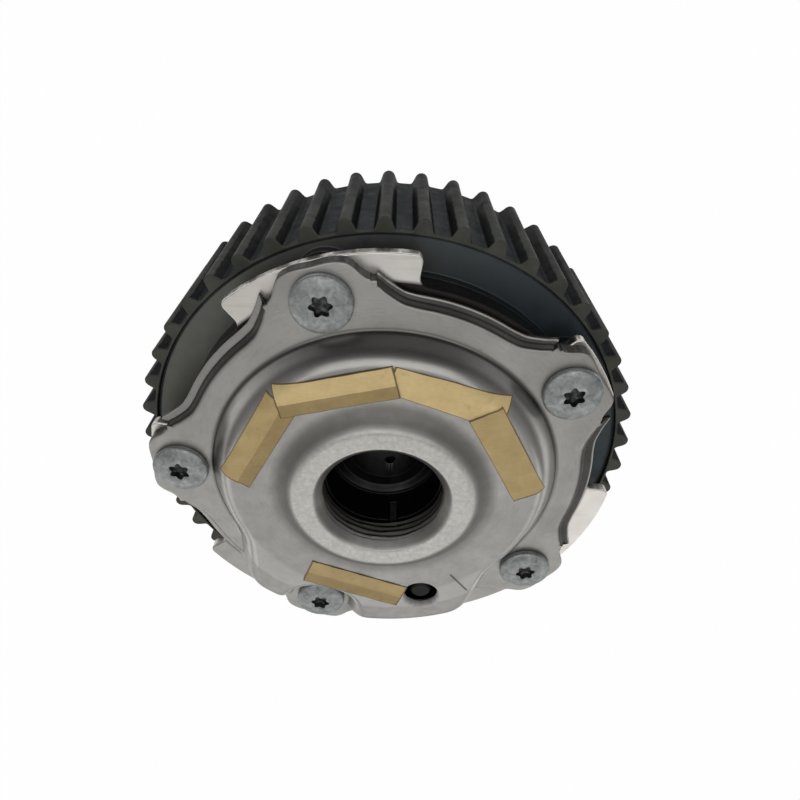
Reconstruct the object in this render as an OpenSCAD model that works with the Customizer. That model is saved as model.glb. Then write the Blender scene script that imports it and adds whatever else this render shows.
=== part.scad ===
// Belt-driven cam phaser: a toothed pulley and stator in one housing, a vane rotor inside it,
// a trigger wheel and a pressed front cover with a central oil plug neck. The front is up (+Z).

/* [Belt teeth] */
// Number of belt teeth
tooth_count = 46; // [42:1:52]
// Pitch of the belt
belt_pitch = 8; // [7.8:0.1:8.6]
// Height of the belt's pitch line over the tooth tips
pitch_line_offset = 0.686; // [0.5:0.002:0.8]
// Depth of the grooves between teeth
tooth_depth = 2.9; // [2.6:0.1:3.4]
// Radius of the rounded tooth tips
tooth_tip_r = 1.5; // [1.1:0.05:1.6]
// Slope of a tooth's flank from the radial line
flank_angle = 20; // [12:1:24]
// Fillet between flank and groove floor
root_fillet_r = 0.7; // [0.3:0.1:0.9]
// Length of the teeth along the axis
tooth_w = 32.5; // [28:0.5:40]
// Angle of one tooth from the side that faces the viewer
first_tooth_angle = 2; // [0:0.5:7]

/* [Housing] */
// Thickness of the rim left between groove floor and front recess
rim_wall = 0.6; // [0.4:0.1:1.2]
// Depth of the front recess between rim and stator
rim_step = 1; // [0.5:0.1:4]
// Radius of the stator's outer wall above the recess
stator_r = 46.8; // [45:0.2:48]
// Height of the stator over the front of the teeth
stator_rise = 1.2; // [0.5:0.1:4]
// Radius of the oil chambers
chamber_r = 38.5; // [36:0.5:39]
// Radius of the screw bosses under the cover's ears
screw_boss_r = 6.6; // [5.5:0.1:7]

/* [Rear plate] */
// Thickness of the rear plate
rear_plate_t = 7.5; // [6.5:0.1:10]
// Height by which the plate stands proud of the teeth's back
plate_proud = 1.5; // [0.5:0.1:3]
// Wall of the rim around the rear plate's pocket, under the groove floor
pocket_wall = 3; // [2:0.1:3.5]
// Edge chamfer of the rear plate
plate_chamfer = 0.8; // [0.3:0.1:1.5]

/* [Rotor] */
// Radius of the rotor hub between the stator lobes
hub_r = 25.5; // [24.5:0.1:26.5]
// Radius of the journal that runs in the rear plate
journal_r = 16; // [15:0.1:16.4]
// Distance of the journal's end from the rear plate's rear face
journal_recess = 0.5; // [0.2:0.1:2]
// Outer radius of the front boss that carries the spring
rotor_boss_r = 16.3; // [15.5:0.1:16.5]
// Bore of the front boss
rotor_boss_bore_r = 13; // [12.6:0.1:13.3]
// Radius of the centre bolt's seat
seat_r = 12.2; // [11:0.1:12.5]
// Depth of the bolt seat under the stator's front
seat_drop = 0.6; // [0.2:0.1:3]
// Height of the seat's sloped rim
seat_rim_h = 1.25; // [0.5:0.05:2]
// Radius of the centre bolt hole
bolt_hole_r = 8.1; // [6:0.1:8.5]
// Radius of the camshaft pilot in the rotor's rear
pilot_r = 12.5; // [12.3:0.1:13]
// Depth of the camshaft pilot
pilot_depth = 10; // [6:0.5:11]
// Radius of the camshaft dowel hole
dowel_r = 1.7; // [1.2:0.1:1.8]
// Depth of the camshaft dowel hole
dowel_depth = 6; // [3:0.5:8]
// Radius of the oil holes to the chambers
oil_hole_r = 1.2; // [0.8:0.1:1.6]
// Distance of the oil holes from the hub's faces
oil_hole_inset = 6.5; // [5.5:0.1:8]
// Angle between a vane and its oil holes
oil_hole_angle = 9; // [8:0.5:12]
// Turn of the rotor between its two stops
phase_angle = 30; // [20:1:32]

/* [Vanes] */
// Thickness of a vane
vane_t = 3; // [2:0.1:3.6]
// Depth of a vane in the hub
vane_depth = 5.9; // [5:0.1:6.3]
// Depth of the slot under a vane, which holds its leaf spring
vane_slot_gap = 1.2; // [0.9:0.1:1.6]
// Thickness of the leaf spring under a vane
leaf_t = 0.3; // [0.2:0.05:0.4]
// Length of the leaf spring
leaf_l = 22; // [14:0.5:24]
// Width of the leaf spring
leaf_w = 1.8; // [1.2:0.1:1.9]

/* [Lock pin] */
// Radius of the lock pin
lock_pin_r = 2.8; // [2:0.1:3]
// Distance of the lock pin's axis from the hub's rim
lock_pin_inset = 5; // [4.5:0.1:5.5]
// Length of the lock pin
lock_pin_l = 16; // [12:0.5:18]
// Distance of the lock pin's tip from the hub's rear face at rest
lock_pin_lift = 0.2; // [0.1:0.1:1]
// Depth of the lock hole in the rear plate
lock_hole_depth = 5; // [3:0.1:6]
// Thickness of the cap that closes the lock pin's bore
lock_cap_t = 2; // [1:0.1:2.5]
// Wire diameter of the lock pin's spring
lock_wire = 0.6; // [0.4:0.05:0.7]
// Number of turns of the lock pin's spring
lock_turns = 7; // [4:1:8]

/* [Front plate] */
// Thickness of the front plate over the stator
front_plate_t = 3.5; // [3:0.1:5]
// Height of the pilot ring that centres the trigger wheel
pilot_ring_h = 2.2; // [1:0.1:2.3]
// Width of the pilot ring
pilot_ring_w = 2; // [1.5:0.1:2.5]
// Section radius of the two sealing rings
seal_r = 0.75; // [0.5:0.05:0.9]

/* [Trigger wheel] */
// Thickness of the trigger wheel
trigger_t = 2.5; // [2.4:0.1:3.5]
// Bore of the trigger wheel
trigger_bore_r = 38.7; // [38.5:0.1:40]
// Radius of the ring between the trigger wheel's segments
trigger_body_r = 47; // [46.9:0.1:48.5]
// Outer radius of the trigger wheel's segments
trigger_r = 53.4; // [52:0.1:54]
// Corner radius of the segments
trigger_corner_r = 1.6; // [0.8:0.1:2]
// Fillet between segments and ring
trigger_fillet_r = 2; // [1:0.1:2.5]

/* [Front cover] */
// Thickness of the cover's sheet
sheet_t = 3; // [2:0.1:3.5]
// Radius of the flange between the ears
flange_r = 46.8; // [46:0.1:47.2]
// Rounding of the flange's pressed edge
flange_roll = 1.8; // [1:0.1:2]
// Outer radius of the ears
ear_r = 53.4; // [52.8:0.1:54.5]
// Half of an ear's angle
ear_half_angle = 10.5; // [9:0.5:12]
// Corner radius of the ears
ear_corner_r = 3.4; // [2:0.1:4]
// Fillet between ear and flange
ear_fillet_r = 3; // [1.5:0.1:4]
// Radius of the dome's foot on the flange
dome_foot_r = 38.75; // [38:0.05:39.5]
// Radius of the dome's shoulder
dome_shoulder_r = 34.9; // [34:0.1:35.5]
// Height of the dome over the flange
dome_h = 5.5; // [4.8:0.1:8]
// Radius of the crease around the raised boss
boss_foot_r = 22.9; // [22:0.1:24]
// Radius of the raised boss at its top
boss_r = 19.6; // [18.5:0.1:20.5]
// Height of the boss over the dome
boss_h = 2.5; // [1:0.1:4]
// Radius of the plug thread's bore
neck_bore_r = 13.35; // [13:0.05:13.7]
// Wall of the neck that carries the plug thread
neck_wall = 3; // [2:0.1:3]
// Outer radius of the chamfer at the neck's mouth
neck_mouth_r = 15.25; // [14.5:0.05:16]
// Depth of the neck below the dome's top
neck_drop = 4.8; // [4:0.1:5]
// Fillet at the dome's foot
foot_fillet = 1; // [0.5:0.1:1.2]
// Rounding of the dome's shoulder
shoulder_round = 2.4; // [1:0.1:2.5]

/* [Cover bulge] */
// Radius of the bulge's top edge
bulge_r = 45; // [44:0.1:45.4]
// Distance by which the bulge's walls lean out at their foot
bulge_lean = 3.3; // [2.5:0.1:4]
// Distance of the bulge's two side ridges from the axis
bulge_side = 31; // [29:0.1:33]
// Angle of the bulge's first side, at which it faces away from the axis
bulge_from = 90; // [84:1:96]
// Angle of the bulge's second side
bulge_to = 254; // [250:1:256]
// Radius of the hollow around the screw in the bulge, at the flange
scallop_foot_r = 7.6; // [7:0.1:8.5]
// Radius of the same hollow at the dome's top
scallop_top_r = 10.8; // [9:0.1:12]
// Radius of the round hole in the bulge
bulge_hole_r = 4.2; // [3.5:0.1:4.6]

/* [Screws] */
// Radius of the screw circle
screw_circle_r = 46; // [45.5:0.1:46.4]
// Angle of the first screw from the side that faces the viewer
screw_angle = 16.65; // [12:0.05:20]
// Radius of a screw's shank
screw_r = 3; // [2.5:0.1:3]
// Radius of a screw's head
screw_head_r = 6.2; // [5.6:0.1:6.4]
// Height of a screw head's rim
screw_rim_h = 1.2; // [0.8:0.1:2]
// Height of the low dome on a screw head
screw_dome_h = 0.9; // [0.5:0.1:1.2]
// Radius of the six-lobe recess
recess_r = 2.75; // [2:0.05:3]
// Depth of the six-lobe recess
recess_depth = 1.6; // [1:0.1:2]
// Wall of sheet around a screw's hole
screw_wall = 2.3; // [1.5:0.1:2.5]
// Distance of a screw's end from the rear plate's rear face
screw_end = 1.5; // [0.5:0.1:2.5]

/* [Return spring] */
// Thickness of the spring's strip
strip_t = 1.6; // [1:0.1:1.8]
// Width of the spring's strip
strip_w = 5.5; // [4.5:0.1:5.6]
// Radius of the first turn's middle line
spring_inner_r = 18; // [17.8:0.1:18.5]
// Radius of the last turn's middle line
spring_outer_r = 31; // [29:0.1:31.5]
// Number of turns
spring_turns = 4; // [3:0.25:4.5]
// Radius of the pin that holds the spring's outer end
spring_pin_r = 2.6; // [2:0.1:2.7]
// Distance of the spring pin from the axis
spring_pin_circle_r = 35.5; // [35:0.1:35.6]
// Angle of the spring pin from the side that faces the viewer
spring_pin_angle = 197.4; // [192:0.2:202]
// Depth of the spring pin's top below the dome's top
spring_pin_drop = 1.4; // [0.5:0.1:3]

/* [Tape strips] */
// Length of a tape strip
tape_l = 24.8; // [20:0.2:25.6]
// Width of a tape strip
tape_w = 7.4; // [5:0.2:7.8]
// Thickness of a tape strip
tape_t = 0.2; // [0.1:0.05:0.3]
// Distance of the strips' middles from the axis
tape_circle_r = 30; // [29.4:0.1:30.4]

/* [Clearances] */
// Clearance of shafts, pins and vanes that run in another piece
running_clearance = 0.05; // [0.03:0.01:0.1]
// Clearance at each end of the rotor
end_clearance = 0.1; // [0.05:0.01:0.2]
// Clearance of curved faces that pass each other without touching
passing_clearance = 0.3; // [0.2:0.05:0.5]
// Clearance of fixed pieces in their seats
seat_clearance = 0.05; // [0.03:0.01:0.1]
// Clearance of the screws in the pieces that they pass through
hole_clearance = 0.3; // [0.2:0.05:0.5]
// Room left beside a vane at each stop
stop_clearance = 0.4; // [0.2:0.05:0.8]

/* [Hidden] */
$fn = 96;

// There is one screw, lobe and vane for each fifth of the turn
lobe_count = 5;
lobe_step = 360 / lobe_count;
// Depth by which a cut runs past the face that it opens
cut = 1;
// Steps of a small arc, and the angle of one step on an arc round the axis
arc_steps = 6;
turn_step = 3;

// Pulley radii
tip_r = tooth_count * belt_pitch / (2 * PI) - pitch_line_offset;
root_r = tip_r - tooth_depth;
rim_inner_r = root_r - rim_wall;
pocket_r = root_r - pocket_wall;
// A half plane or wedge drawn this long reaches past everything
reach = 3 * tip_r;

// Heights of the stack, from the rear plate's rear face
z_teeth = plate_proud;
z_teeth_front = z_teeth + tooth_w;
z_stator = z_teeth_front + stator_rise;
z_plate = z_stator + front_plate_t;
z_trigger = z_plate + trigger_t;
z_flange = z_trigger + sheet_t;
z_plateau = z_flange + dome_h;
z_ceiling = z_plateau - sheet_t;
// Extra thickness of the bulge's roof, where the sheet is pressed deepest
bulge_roof_extra = 0.2;
z_boss = z_plateau + boss_h;
z_neck = z_plateau - neck_drop;

// Rotor and vanes
z_hub = rear_plate_t + end_clearance;
hub_l = z_stator - rear_plate_t - 2 * end_clearance;
z_hub_top = z_hub + hub_l;
z_seat = z_stator - seat_drop;
rotor_boss_gap = 0.5;
z_rotor_top = z_neck - rotor_boss_gap;
vane_foot_r = hub_r - vane_depth;
slot_floor_r = vane_foot_r - vane_slot_gap;
vane_tip_r = chamber_r - passing_clearance;
vane_stop_angle = asin((vane_t / 2 + stop_clearance) / hub_r);
chamber_half_angle = phase_angle / 2 + vane_stop_angle;
vane_angle = screw_angle + lobe_step / 2 - phase_angle / 2;
dowel_circle_r = (bolt_hole_r + pilot_r) / 2;

// Lock pin
lock_circle_r = hub_r - lock_pin_inset;
lock_angle = vane_angle + lobe_step / 2;
z_lock_pin = z_hub + lock_pin_lift;
lock_bore_r = lock_pin_r + running_clearance;
lock_pin_pocket_r = lock_pin_r - 1;
lock_pin_pocket = lock_pin_l * 0.6;
z_lock_pocket = z_lock_pin + lock_pin_l - lock_pin_pocket;
lock_spring_r = lock_pin_pocket_r - lock_wire / 2 - seat_clearance;
lock_spring_foot = z_lock_pocket + lock_wire / 2 + seat_clearance;
lock_spring_head = z_hub_top - lock_cap_t - lock_wire / 2 - seat_clearance;

// Front plate, trigger wheel and seals
pilot_ring_r = trigger_bore_r - seat_clearance;
seal_circle_r = (chamber_r + screw_circle_r - screw_r - hole_clearance) / 2;
seal_groove_r = seal_r + seat_clearance;
// Each segment of the trigger wheel is a pair of angles, in the turn's order
trigger_segments = [[-6.2, 39.5], [77.9, 99.4], [124, 266.2], [295, 314.4]];
trigger_fillet_turn = asin(trigger_fillet_r / (trigger_body_r + trigger_fillet_r));

// Cover
dome_lean = dome_foot_r - dome_shoulder_r;
// The bulge's hollow stops this far inside its outer wall
wall_inset = sheet_t * 0.75;
ceiling_r = dome_shoulder_r - wall_inset;
// The screw that stands in the bulge's scallop is the third one round
scallop_angle = screw_angle + 2 * lobe_step;
bore_chamfer = neck_mouth_r - neck_bore_r;
crease_fillet = 1.2;
boss_round = 0.7;
edge_round = 0.4;

// Return spring
z_spring = z_plate + passing_clearance;
spring_leg_angle = spring_pin_angle - asin((spring_pin_r + strip_t / 2 + seat_clearance) / spring_pin_circle_r);
spring_leg_r = pilot_ring_r - pilot_ring_w - passing_clearance;
spring_start_angle = spring_leg_angle - spring_turns * 360;
spring_step = 7.5;
tang_clearance = 0.2;

// Each tape strip is an angle round the axis, a skew of its long edge and a shift off the circle
tape_places = [[63.1, -1.3, 0], [20.6, -5.8, -0.8], [335.9, 5.1, 0], [296.5, 3.2, -1], [169.2, -8.7, 0.8]];

// Point at a distance from the axis and an angle from the side that faces the viewer
function polar(r, phi) = [r * sin(phi), -r * cos(phi)];

// Points of an arc, with the angle measured in the drawing plane
function arc(centre, r, from, to, n) =
    [for (i = [0:n]) centre + r * [cos(from + (to - from) * i / n), sin(from + (to - from) * i / n)]];

// Points of an outline whose corners are [x, y, rounding], each rounded by a smooth curve
function rounded(corners, n = 6) = [
    for (i = [0:len(corners) - 1])
        let (
            last = len(corners),
            c = corners[i],
            p = [c[0], c[1]],
            a = corners[(i + last - 1) % last],
            b = corners[(i + 1) % last],
            to_a = [a[0], a[1]] - p,
            to_b = [b[0], b[1]] - p,
            start = p + to_a / norm(to_a) * c[2],
            end = p + to_b / norm(to_b) * c[2]
        )
        each c[2] == 0
            ? [p]
            : [for (k = [0:n]) let (t = k / n) (1 - t) ^ 2 * start + 2 * t * (1 - t) * p + t ^ 2 * end]
];

// Outline of one belt tooth from groove to groove, pointing along -Y and then turned
tip_centre_r = tip_r - tooth_tip_r;
tip_arc_steps = 8;
fillet_steps = 3;
flank_foot = tooth_tip_r * cos(flank_angle)
    + (tip_centre_r + tooth_tip_r * sin(flank_angle) - root_r) * tan(flank_angle);
fillet_run = root_fillet_r * tan((90 - flank_angle) / 2);
fillet_x = flank_foot + fillet_run;
function tooth_side() = concat(
    arc([fillet_x, root_r + root_fillet_r], root_fillet_r, 270, 180 + flank_angle, fillet_steps),
    arc([0, tip_centre_r], tooth_tip_r, flank_angle, 90, tip_arc_steps / 2));
function tooth_outline() = concat(
    tooth_side(),
    [for (i = [len(tooth_side()) - 2:-1:0]) [-tooth_side()[i][0], tooth_side()[i][1]]]);
function turned(p, phi) = [p[0] * cos(phi) + p[1] * sin(phi), p[0] * sin(phi) - p[1] * cos(phi)];

// Middle line radius of the spiral spring at an angle
function spiral_r(phi) =
    spring_inner_r + (spring_outer_r - spring_inner_r) * (phi - spring_start_angle) / (spring_turns * 360);

// Places children on a circle, at an angle from the side that faces the viewer
module around(phi, r = 0, z = 0) {
    rotate([0, 0, phi])
        translate([0, -r, z])
            children();
}

module at_screws(z = 0) {
    for (i = [0:lobe_count - 1]) {
        around(screw_angle + i * lobe_step, screw_circle_r, z)
            children();
    }
}

// Outline of a tab on a ring, with filleted roots and rounded outer corners, in the turn's direction
function tab(ring_r, r, from, to, corner, fillet) =
    let (
        corner_turn = asin(corner / (r - corner)),
        fillet_turn = asin(fillet / (ring_r + fillet)),
        first = from + corner_turn,
        last = to - corner_turn
    )
    concat(
        arc(polar(ring_r + fillet, from - fillet_turn), fillet, from - fillet_turn + 90, from, arc_steps),
        arc(polar(r - corner, first), corner, from + 180, first + 270, arc_steps),
        turn_arc(r, first, last),
        arc(polar(r - corner, last), corner, last + 270, to + 360, arc_steps),
        arc(polar(ring_r + fillet, to + fillet_turn), fillet, to + 180, to + fillet_turn + 90, arc_steps));

// Inner points of an arc round the axis
function turn_arc(r, from, to) =
    let (n = ceil((to - from) / turn_step))
    [for (i = [1:n - 1]) polar(r, from + (to - from) * i / n)];

module wedge(from, to) {
    half = (to - from) / 2;
    rotate((from + to) / 2)
        polygon([[0, 0], [reach * tan(half), -reach], [-reach * tan(half), -reach]]);
}

module sector(r, from, to) {
    intersection() {
        circle(r);
        wedge(from, to);
    }
}

module screw_holes(z, h) {
    at_screws(z - cut)
        cylinder(r = screw_r + hole_clearance, h = h + 2 * cut);
}

// Sheet around the screw holes
module screw_eyes() {
    for (i = [0:lobe_count - 1]) {
        rotate(screw_angle + i * lobe_step)
            translate([0, -screw_circle_r])
                circle(screw_r + hole_clearance + screw_wall);
    }
}

module tube(outer, inner, h) {
    difference() {
        cylinder(r = outer, h = h);
        translate([0, 0, -cut])
            cylinder(r = inner, h = h + 2 * cut);
    }
}

// Ring groove for a sealing ring, with its floor below the face at height z
module seal_groove(z) {
    translate([0, 0, z])
        tube(seal_circle_r + seal_groove_r, seal_circle_r - seal_groove_r, 2 * seal_groove_r);
}

module seal_ring(z) {
    rotate_extrude()
        translate([seal_circle_r, z])
            circle(seal_r, $fn = 24);
}

module pulley_outline() {
    polygon([
        for (k = [0:tooth_count - 1])
            for (p = tooth_outline())
                turned(p, first_tooth_angle - k * 360 / tooth_count)
    ]);
}

module stator_outline() {
    circle(stator_r);
    for (i = [0:lobe_count - 1]) {
        rotate(screw_angle + i * lobe_step)
            translate([0, -screw_circle_r])
                circle(screw_boss_r);
    }
}

module chamber_outline() {
    circle(hub_r + passing_clearance);
    for (i = [0:lobe_count - 1]) {
        middle = screw_angle + (i + 0.5) * lobe_step;
        sector(chamber_r, middle - chamber_half_angle, middle + chamber_half_angle);
    }
}

module pulley_housing() {
    z_recess = z_teeth_front - rim_step;
    color("#3d3f3e")
        difference() {
            union() {
                translate([0, 0, z_teeth])
                    linear_extrude(tooth_w)
                        pulley_outline();
                translate([0, 0, z_teeth])
                    linear_extrude(z_stator - z_teeth)
                        stator_outline();
            }
            translate([0, 0, z_recess])
                linear_extrude(rim_step + cut)
                    difference() {
                        circle(rim_inner_r);
                        stator_outline();
                    }
            translate([0, 0, rear_plate_t - cut])
                linear_extrude(z_stator - rear_plate_t + 2 * cut)
                    chamber_outline();
            translate([0, 0, z_teeth - cut])
                cylinder(r = pocket_r, h = rear_plate_t - z_teeth + cut);
            screw_holes(z_teeth, z_stator - z_teeth);
        }
}

module rear_plate() {
    r = pocket_r - seat_clearance;
    color("#6e7072")
        difference() {
            rotate_extrude()
                polygon([
                    [journal_r + running_clearance, 0],
                    [r - plate_chamfer, 0],
                    [r, plate_chamfer],
                    [r, rear_plate_t],
                    [journal_r + running_clearance, rear_plate_t]
                ]);
            at_screws(-cut)
                cylinder(r = screw_r + seat_clearance, h = rear_plate_t + 2 * cut);
            around(lock_angle, lock_circle_r, rear_plate_t - lock_hole_depth)
                cylinder(r = lock_pin_r + passing_clearance, h = lock_hole_depth + cut);
            seal_groove(rear_plate_t - 2 * seal_groove_r + seat_clearance);
        }
}

module rear_seal() {
    color("#1c1c1e")
        seal_ring(rear_plate_t - seal_r);
}

module rotor_body() {
    cylinder_floor = z_seat + seat_rim_h;
    z_pilot = journal_recess + pilot_depth;
    rotate_extrude()
        polygon([
            [pilot_r, journal_recess],
            [journal_r, journal_recess],
            [journal_r, z_hub],
            [hub_r, z_hub],
            [hub_r, z_hub_top],
            [rotor_boss_r, z_hub_top],
            [rotor_boss_r, z_rotor_top],
            [rotor_boss_bore_r, z_rotor_top],
            [rotor_boss_bore_r, cylinder_floor],
            [seat_r, cylinder_floor],
            [seat_r - seat_rim_h, z_seat],
            [bolt_hole_r, z_seat],
            [bolt_hole_r, z_pilot],
            [pilot_r, z_pilot]
        ]);
}

module oil_holes() {
    for (i = [0:lobe_count - 1]) {
        phi = vane_angle + i * lobe_step;
        around(phi - oil_hole_angle, 0, z_hub + oil_hole_inset)
            rotate([90, 0, 0])
                cylinder(r = oil_hole_r, h = hub_r + cut, $fn = 24);
        around(phi + oil_hole_angle, 0, z_hub_top - oil_hole_inset)
            rotate([90, 0, 0])
                cylinder(r = oil_hole_r, h = hub_r + cut, $fn = 24);
    }
}

module rotor() {
    slot_w = vane_t + 2 * running_clearance;
    tang_w = strip_t + 2 * tang_clearance;
    color("#55575a")
        difference() {
            rotor_body();
            for (i = [0:lobe_count - 1]) {
                around(vane_angle + i * lobe_step)
                    translate([-slot_w / 2, -reach, z_hub - cut])
                        cube([slot_w, reach - slot_floor_r, hub_l + 2 * cut]);
            }
            oil_holes();
            around(lock_angle, lock_circle_r, z_hub - cut)
                cylinder(r = lock_bore_r, h = hub_l + 2 * cut);
            around(lock_angle, dowel_circle_r, journal_recess + pilot_depth - cut)
                cylinder(r = dowel_r, h = dowel_depth + cut, $fn = 32);
            around(spring_start_angle)
                translate([-tang_w / 2, -spring_inner_r, z_spring - tang_clearance])
                    cube([tang_w, spring_inner_r - seat_r, z_rotor_top]);
        }
}

module vane(i) {
    tip_round_r = vane_t * 0.8;
    color("#8a8c8e")
        around(vane_angle + i * lobe_step)
            translate([0, 0, z_hub])
                linear_extrude(hub_l)
                    intersection() {
                        translate([-vane_t / 2, -reach])
                            square([vane_t, reach - vane_foot_r]);
                        translate([0, tip_round_r - vane_tip_r])
                            union() {
                                circle(tip_round_r);
                                translate([-vane_t, 0])
                                    square([2 * vane_t, reach]);
                            }
                    }
}

// A bowed leaf whose ends rest on the slot's floor and whose middle carries the vane
module vane_spring(i) {
    bow = vane_slot_gap - leaf_t - 2 * seat_clearance;
    bow_r = ((leaf_l / 2) ^ 2 + bow ^ 2) / (2 * bow);
    top_r = vane_foot_r - seat_clearance;
    color("#b9bbbd")
        around(vane_angle + i * lobe_step)
            intersection() {
                translate([-leaf_w / 2, bow_r - top_r, z_hub + hub_l / 2])
                    rotate([0, 90, 0])
                        tube(bow_r, bow_r - leaf_t, leaf_w);
                translate([-leaf_w / 2, -top_r - cut, z_hub + (hub_l - leaf_l) / 2])
                    cube([leaf_w, vane_slot_gap + cut, leaf_l]);
            }
}

module lock_pin() {
    nose = 0.6;
    color("#9a9c9e")
        around(lock_angle, lock_circle_r)
            difference() {
                union() {
                    translate([0, 0, z_lock_pin])
                        cylinder(r1 = lock_pin_r - nose, r2 = lock_pin_r, h = nose);
                    translate([0, 0, z_lock_pin + nose])
                        cylinder(r = lock_pin_r, h = lock_pin_l - nose);
                }
                translate([0, 0, z_lock_pocket])
                    cylinder(r = lock_pin_pocket_r, h = lock_pin_pocket + cut);
            }
}

// A round wire swept along a helix, as rings of points joined by quads
module coil(r, wire, turns, z_from, z_to, sides = 8, per_turn = 16) {
    n = turns * per_turn;
    points = [
        for (i = [0:n])
            for (k = [0:sides - 1])
                let (a = i * 360 / per_turn, b = k * 360 / sides)
                    [(r + wire / 2 * cos(b)) * cos(a), (r + wire / 2 * cos(b)) * sin(a),
                        z_from + (z_to - z_from) * i / n + wire / 2 * sin(b)]
    ];
    quads = [
        for (i = [0:n - 1])
            for (k = [0:sides - 1])
                [i * sides + k, i * sides + (k + 1) % sides,
                    (i + 1) * sides + (k + 1) % sides, (i + 1) * sides + k]
    ];
    ends = [[for (k = [sides - 1:-1:0]) k], [for (k = [0:sides - 1]) n * sides + k]];
    polyhedron(points, concat(quads, ends), convexity = 8);
}

module lock_pin_spring() {
    color("#c4c6c8")
        around(lock_angle, lock_circle_r)
            coil(lock_spring_r, lock_wire, lock_turns, lock_spring_foot, lock_spring_head);
}

module lock_pin_cap() {
    vent_r = 0.8;
    color("#8d8f91")
        around(lock_angle, lock_circle_r, z_hub_top - lock_cap_t)
            tube(lock_bore_r - seat_clearance, vent_r, lock_cap_t);
}

module front_plate() {
    color("#2f3133")
        difference() {
            union() {
                translate([0, 0, z_stator])
                    linear_extrude(front_plate_t)
                        stator_outline();
                translate([0, 0, z_stator])
                    cylinder(r = pilot_ring_r, h = front_plate_t + pilot_ring_h);
            }
            translate([0, 0, z_plate])
                cylinder(r = pilot_ring_r - pilot_ring_w, h = pilot_ring_h + cut);
            translate([0, 0, z_stator - cut])
                cylinder(r = rotor_boss_r + passing_clearance, h = front_plate_t + 2 * cut);
            screw_holes(z_stator, front_plate_t);
            seal_groove(z_stator - seat_clearance);
            around(spring_pin_angle, spring_pin_circle_r, z_stator - cut)
                cylinder(r = spring_pin_r + seat_clearance, h = front_plate_t + pilot_ring_h + 2 * cut);
        }
}

module plate_seal() {
    color("#1c1c1e")
        seal_ring(z_stator + seal_r);
}

module trigger_outline() {
    polygon([
        for (i = [0:len(trigger_segments) - 1])
            let (
                s = trigger_segments[i],
                is_last = i == len(trigger_segments) - 1,
                next = is_last ? trigger_segments[0][0] + 360 : trigger_segments[i + 1][0]
            )
            each concat(
                tab(trigger_body_r, trigger_r, s[0], s[1], trigger_corner_r, trigger_fillet_r),
                turn_arc(trigger_body_r, s[1] + trigger_fillet_turn, next - trigger_fillet_turn))
    ]);
}

module trigger_wheel() {
    color("#dcd8cf")
        difference() {
            translate([0, 0, z_plate])
                linear_extrude(trigger_t)
                    difference() {
                        union() {
                            trigger_outline();
                            screw_eyes();
                        }
                        circle(trigger_bore_r);
                    }
            screw_holes(z_plate, trigger_t);
        }
}

module return_spring() {
    steps = round(spring_turns * 360 / spring_step);
    turn_angles = [for (i = [0:steps]) spring_start_angle + i * spring_turns * 360 / steps];
    color("#7d7f80")
        translate([0, 0, z_spring])
            linear_extrude(strip_w)
                union() {
                    polygon(concat(
                        [for (a = turn_angles) polar(spiral_r(a) + strip_t / 2, a)],
                        [for (i = [steps:-1:0]) polar(spiral_r(turn_angles[i]) - strip_t / 2, turn_angles[i])]));
                    rotate(spring_start_angle)
                        translate([-strip_t / 2, -spring_inner_r - strip_t / 2])
                            square([strip_t, spring_inner_r + strip_t / 2 - rotor_boss_bore_r - tang_clearance]);
                    rotate(spring_leg_angle)
                        translate([-strip_t / 2, -spring_leg_r])
                            square([strip_t, spring_leg_r - spring_outer_r + strip_t / 2]);
                }
}

module spring_pin() {
    nose = 0.5;
    z_top = z_plateau - spring_pin_drop;
    color("#a2a4a5")
        around(spring_pin_angle, spring_pin_circle_r, z_stator + seat_clearance) {
            cylinder(r = spring_pin_r, h = z_top - nose - z_stator - seat_clearance);
            translate([0, 0, z_top - nose - z_stator - seat_clearance])
                cylinder(r1 = spring_pin_r, r2 = spring_pin_r - nose, h = nose);
        }
}

// Section of the cover's round part: flange, dome, raised boss and threaded neck
module cover_section() {
    polygon(rounded([
        [flange_r, z_trigger, 0],
        [flange_r, z_flange, flange_roll],
        [dome_foot_r, z_flange, foot_fillet],
        [dome_shoulder_r, z_plateau, shoulder_round],
        [boss_foot_r, z_plateau, crease_fillet],
        [boss_r, z_boss, boss_round],
        [neck_mouth_r, z_boss, 0],
        [neck_bore_r, z_boss - bore_chamfer, 0],
        [neck_bore_r, z_neck, 0],
        [neck_bore_r + neck_wall, z_neck, edge_round],
        [neck_bore_r + neck_wall, z_ceiling, edge_round],
        [ceiling_r, z_ceiling, foot_fillet],
        [ceiling_r + dome_lean, z_trigger, edge_round]
    ]));
}

// The space under a wall that faces one way and leans out towards its foot
module leaning_side(phi, top, inset, z_top, z_foot) {
    lean = bulge_lean / dome_h;
    rotate([0, 0, phi])
        rotate([90, 0, 90])
            linear_extrude(2 * reach, center = true)
                polygon([
                    [inset - top, z_top],
                    [inset - top - lean * (z_top - z_foot), z_foot],
                    [reach, z_foot],
                    [reach, z_top]
                ]);
}

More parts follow.
